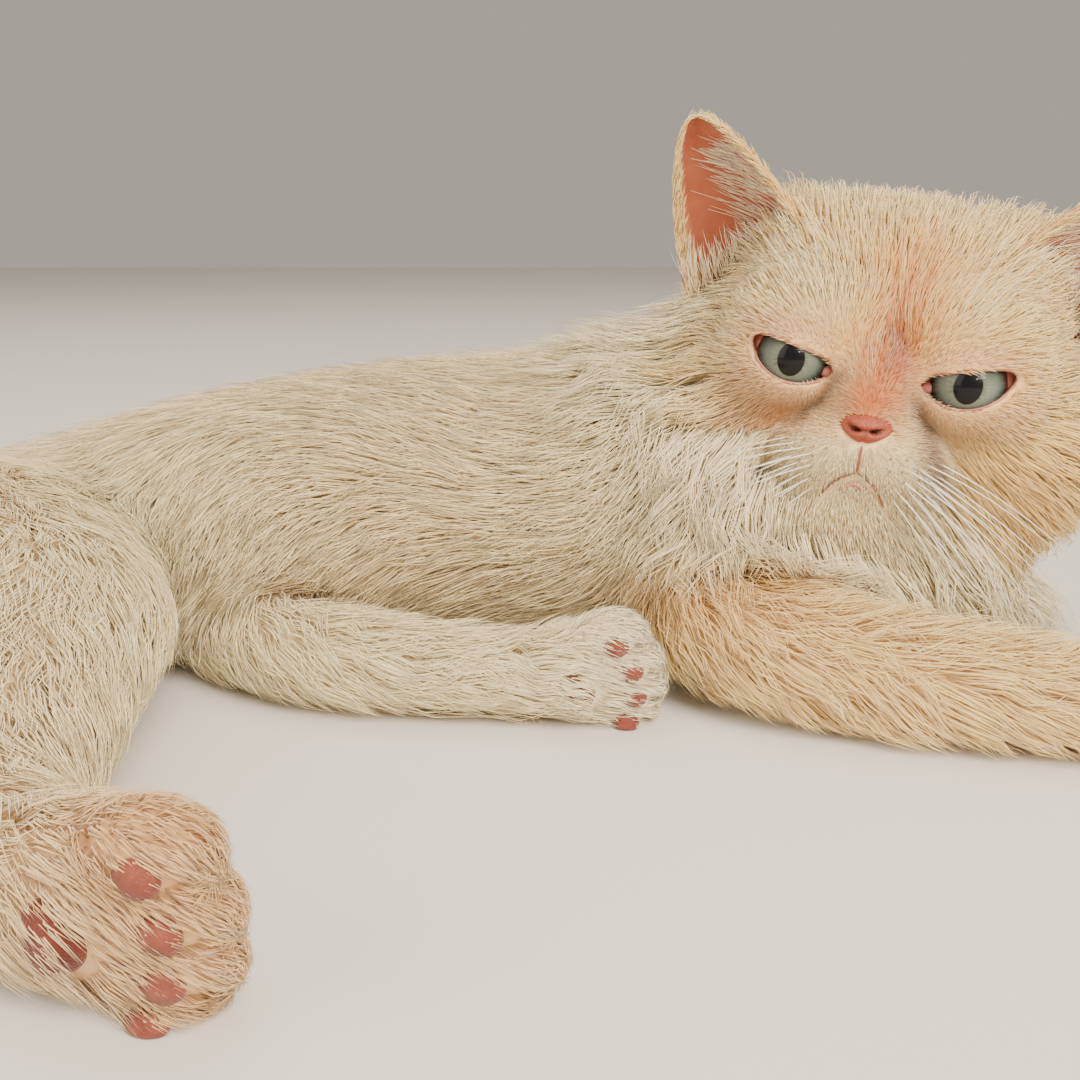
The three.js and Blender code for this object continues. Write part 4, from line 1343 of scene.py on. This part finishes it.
def whisker(a, c, aim, length, bow, radius, tip, count):
    """A cord from the face that thins to its tip and bends with the square of the way along. What
    would go under the floor is laid just over it."""
    root = on_face(np.array(float(a)), np.array(float(c)), -0.5)
    t = np.linspace(0, 1, count)[:, None]
    path = from_head(root + unit(np.array(aim)) * length * t + np.array(bow) * length * t**2)
    path = np.maximum(path, [-np.inf, -np.inf, 2.0])
    return cord(path, radius * (1 - t[:, 0]) ** 0.7 + tip, 5)


def make_whiskers():
    """Long bristles from the whisker pads and a few over the eyes."""
    made = []
    for sign in (-1, 1):
        for row in range(4):
            for place in range(4):
                a = sign * (9 + 3.3 * place)
                c = -15.5 - 3.0 * row + 0.5 * place
                length = chance.uniform(44, 74) * (0.75 + 0.1 * place)
                aim = [sign, -0.28 + 0.1 * place, -0.3 - 0.2 * row + chance.normal(0, 0.06)]
                made.append(whisker(a, c, aim, length, [0, 0.3, -0.25], 0.2, 0.03, 14))
        for place in range(4):
            a = sign * (17 + 2.4 * place)
            aim = [sign * (0.25 + 0.16 * place), -0.55, 0.85]
            length = chance.uniform(24, 38)
            made.append(whisker(a, 22 + place, aim, length, [0, 0.5, -0.1], 0.12, 0.02, 12))
    points, faces = joined(made)
    tint = np.repeat(linear(246, 242, 234)[None], len(points), 0)
    return piece("whiskers", points, faces, WHISKER_FINISH, tint, points[:, [0, 2]] / (2 * SHEET))


# Ears

EAR_HEIGHT = 42
EAR_WIDTH = 44
EAR_PLACE = (50, -5, 37)
EAR_LEAN = 26
EAR_OPEN = 22


def ear_point(sign, u, v, lift):
    """A point of the ear's cupped leaf, u from root to tip and v across, lifted off it backwards."""
    half = EAR_WIDTH / 2 * np.sqrt(1 - 0.985 * np.clip(u, 0, 1) ** 2) * (1 - 0.3 * u)
    cup = 13 * (1 - 0.75 * u) * (1 - v * v)
    leaf = np.stack([v * half, cup + lift - 4 * u, u * EAR_HEIGHT - 8], -1)
    turn = turned("y", sign * EAR_LEAN) @ turned("z", sign * EAR_OPEN)
    return from_head(leaf @ turn.T + np.array(EAR_PLACE) * [sign, 1, 1])


def make_ear(sign, side_name):
    """The leaf, thicker at its root and thin at its edge, as rings that go up one face and down the
    other."""
    u = np.linspace(-0.3, 0.995, 44)[:, None]
    v = np.linspace(-1, 1, 26)[None]
    thick = 1.5 * (1 - 0.6 * np.maximum(u, 0)) * (1 - 0.6 * v**6)
    front = ear_point(sign, u + 0 * v, v + 0 * u, -thick)
    back = ear_point(sign, u + 0 * v, v + 0 * u, thick)
    rings = np.concatenate([front, back[:, ::-1]], 1)
    points, faces = lofted(rings)
    if sign < 0:
        faces = [face[::-1] for face in faces]
    rim = smooth(0.75, 0.98, np.abs(v))[..., None]
    inner = mix(linear(172, 92, 62), linear(228, 176, 122), rim)
    # Painted shade of the ear's hollow: the inner face darkens towards the root.
    inner = inner * mix(0.72, 1.0, smooth(-0.1, 0.5, u))[..., None]
    outer = np.broadcast_to(PALE_FLAME, inner.shape)
    tint = np.concatenate([inner, outer], 1).reshape(-1, 3)
    tint = np.vstack([tint, PALE_FLAME, PALE_FLAME])
    return piece(
        f"ear_leaf_{side_name}", points, faces, EAR_FINISH, tint,
        slot="tinted_coat", replaced=[f"ear_{side_name}"],
    )


def straight_strands(root, way, normal, length, rise, count):
    """Paths that leave their roots along a way and lift off by a rise that levels off."""
    t = np.linspace(0, 1, count + 1)[None, :, None]
    lifted = lift_at(t) * rise[:, None, None]
    path = root[:, None] + way[:, None] * length[:, None, None] * t + normal[:, None] * lifted
    return path, np.repeat(normal[:, None], count + 1, 1)


def ear_kinds(sign):
    """The kinds of hair on an ear: where each hair stands, its length and its rise, the side of the
    leaf that it is on, how far it leans to the middle, and its width."""
    def spots(n, low, high):
        return chance.uniform(low, high, n), chance.uniform(-1, 1, n)

    u, v = spots(1900, -0.3, 0.97)
    back = chance.uniform(5, 9, 1900) * (1 - 0.5 * u)
    yield u, v, back, chance.uniform(1, 2.4, 1900), 1.3, 0.0, 0.6
    u, v = spots(760, -0.25, 0.98)
    v = np.sign(v) * chance.uniform(0.86, 1.0, 760)
    yield u, v, chance.uniform(3.5, 6, 760), chance.uniform(0.6, 1.6, 760), -1.3, 0.5, 0.42
    u = chance.uniform(-0.1, 0.72, 460)
    v = -sign * chance.uniform(0.1, 0.98, 460)
    fan = chance.uniform(12, 28, 460) * (1 - 0.5 * np.maximum(u, 0))
    yield u, v, fan, chance.uniform(0.6, 3, 460), -1.2, 1.1, 0.26
    u, v = spots(520, -0.3, -0.02)
    yield u, v, chance.uniform(8, 15, 520), chance.uniform(3, 7, 520), -1.2, 0.3, 0.36


def ear_coat(sign, name):
    """Short hair over the back and along both edges, and long pale hair that fans from the inner
    edge and the root across the opening."""
    found = []
    for u, v, length, rise, lift, lean, width in list(ear_kinds(sign)):
        step = 0.03
        surface = ear_point(sign, u, v, lift)
        root = ear_point(sign, u, v, lift * 0.6)
        tip_ways = unit(ear_point(sign, u + step, v, lift) - ear_point(sign, u - step, v, lift))
        across = unit(ear_point(sign, u, v + step, lift) - ear_point(sign, u, v - step, lift))
        normal = unit(ear_point(sign, u, v, lift + np.sign(lift)) - surface)
        way = tip_ways - across * np.sign(v)[:, None] * lean
        way = unit(way + chance.normal(0, 0.13, (len(u), 3)))
        path, normals = straight_strands(root, way, normal, length, rise, 3)
        pale = ((length > 7) & (lift < 0))[:, None]
        tint = np.where(pale, mix(WHITE, BLUSH, 0.25), mix(PALE_FLAME, CREAM, 0.3))
        tint = tint * chance.uniform(0.88, 1.08, len(u))[:, None]
        uv = np.stack([(sign + 1) / 8 + 0.53 + 0.2 * np.clip(u, 0, 1), 0.8 + 0.07 * v], 1)
        width = width * chance.uniform(0.75, 1.25, len(u))
        # Darker roots: partly the hair's own colour, partly painted shade deep in the hair.
        found.append(strands(path, normals, width, tint * 0.85, np.minimum(tint * 1.08, 0.95), uv))
    start = np.cumsum([0] + [len(part[0]) for part in found])
    points, tints, uvs = (np.vstack([part[k] for part in found]) for k in (0, 2, 3))
    faces = np.vstack([part[1] + begin for part, begin in zip(found, start)])
    return piece(name, points, faces, COAT_FINISH, tints, uvs, slot="tinted_coat")


# Paws

def lobes(x, y, z):
    """Three lobes: the rim moves in and out with the cosine of three times the angle."""
    return (1 + 0.09 * np.cos(3 * np.arctan2(y, x)) * (1 - z * z))[..., None]


def make_pads(name):
    """A pad under each toe and one of three lobes under the palm, smooth domes that stand out of the
    hair."""
    centre, size, axes = paw_frame(name)
    made = []
    for place, radii in pad_places():
        shape = lobes if radii is PALM_PAD else round_ball
        middle = centre + size * (np.array(place) @ axes)
        made.append(dome(middle, np.array(radii) * size, axes, shape))
    points, faces = joined(made)
    points[:, 2] = np.maximum(points[:, 2], 0.3)
    tint = np.ones((len(points), 3))
    tint[-len(made[-1][0]):] = linear(206, 170, 170)
    uv = points[:, [0, 2]] / (2 * SHEET)
    return piece(f"{name}_pads", points, faces, PAD_FINISH, tint, uv, slot="nose_leather")


for side_sign, side_name in ((1, "left"), (-1, "right")):
    make_eye(side_sign, side_name)
    make_lids(side_sign, f"lids_{side_name}")
    make_ear(side_sign, side_name)
    ear_coat(side_sign, f"coat_ear_{side_name}")
make_nose()
make_mouth()
make_dots()
make_whiskers()
for paw_name in PAWS:
    make_pads(paw_name)


# Floor, light and camera

def make_floor():
    """A flat square of 6 metres."""
    mesh = bpy.data.meshes.new("floor")
    corners = [(3 * x, 3 * y, 0) for x, y in ((-1, -1), (1, -1), (1, 1), (-1, 1))]
    mesh.from_pydata(corners, [], [(0, 1, 2, 3)])
    mesh.materials.append(floor_finish())
    made = bpy.data.objects.new("floor", mesh)
    bpy.context.scene.collection.objects.link(made)


def make_light(name, place, target, size, power, colour):
    """A square soft light aimed at a target."""
    light = bpy.data.lights.new(name, "AREA")
    light.size = size
    light.energy = power
    light.color = colour
    made = bpy.data.objects.new(name, light)
    made.location = place
    aim = unit(np.array(target, float) - place)
    made.rotation_euler = (math.acos(-aim[2]), 0, math.atan2(-aim[0], aim[1]))
    bpy.context.scene.collection.objects.link(made)


make_floor()
WARM = (1.0, 0.93, 0.84)
make_light("key", (0.75, -1.1, 1.1), (0.05, -0.05, 0.05), 0.9, 50, (1.0, 0.9, 0.76))
make_light("fill", (-1.3, -0.9, 0.8), (0.0, -0.05, 0.05), 1.4, 17, WARM)
make_light("top", (-0.1, 0.4, 1.6), (0.0, 0.0, 0.05), 1.4, 15, WARM)
make_light("spark", (0.3, -1.1, 0.55), (0.16, -0.02, 0.09), 0.09, 1.4, (1.0, 0.97, 0.92))
world = bpy.data.worlds.new("soft")
world.use_nodes = True
background = world.node_tree.nodes["Background"]
background.inputs["Color"].default_value = (1.0, 0.91, 0.79, 1)
background.inputs["Strength"].default_value = 0.45
bpy.context.scene.world = world

camera = bpy.data.objects.new("camera", bpy.data.cameras.new("camera"))
camera.data.lens = 40
camera.data.sensor_width = 36
camera.data.clip_start = 0.01
camera.location = CAMERA * MM
camera.rotation_euler = (math.radians(90 - CAMERA_PITCH), 0, 0)
bpy.context.scene.collection.objects.link(camera)
bpy.context.scene.camera = camera
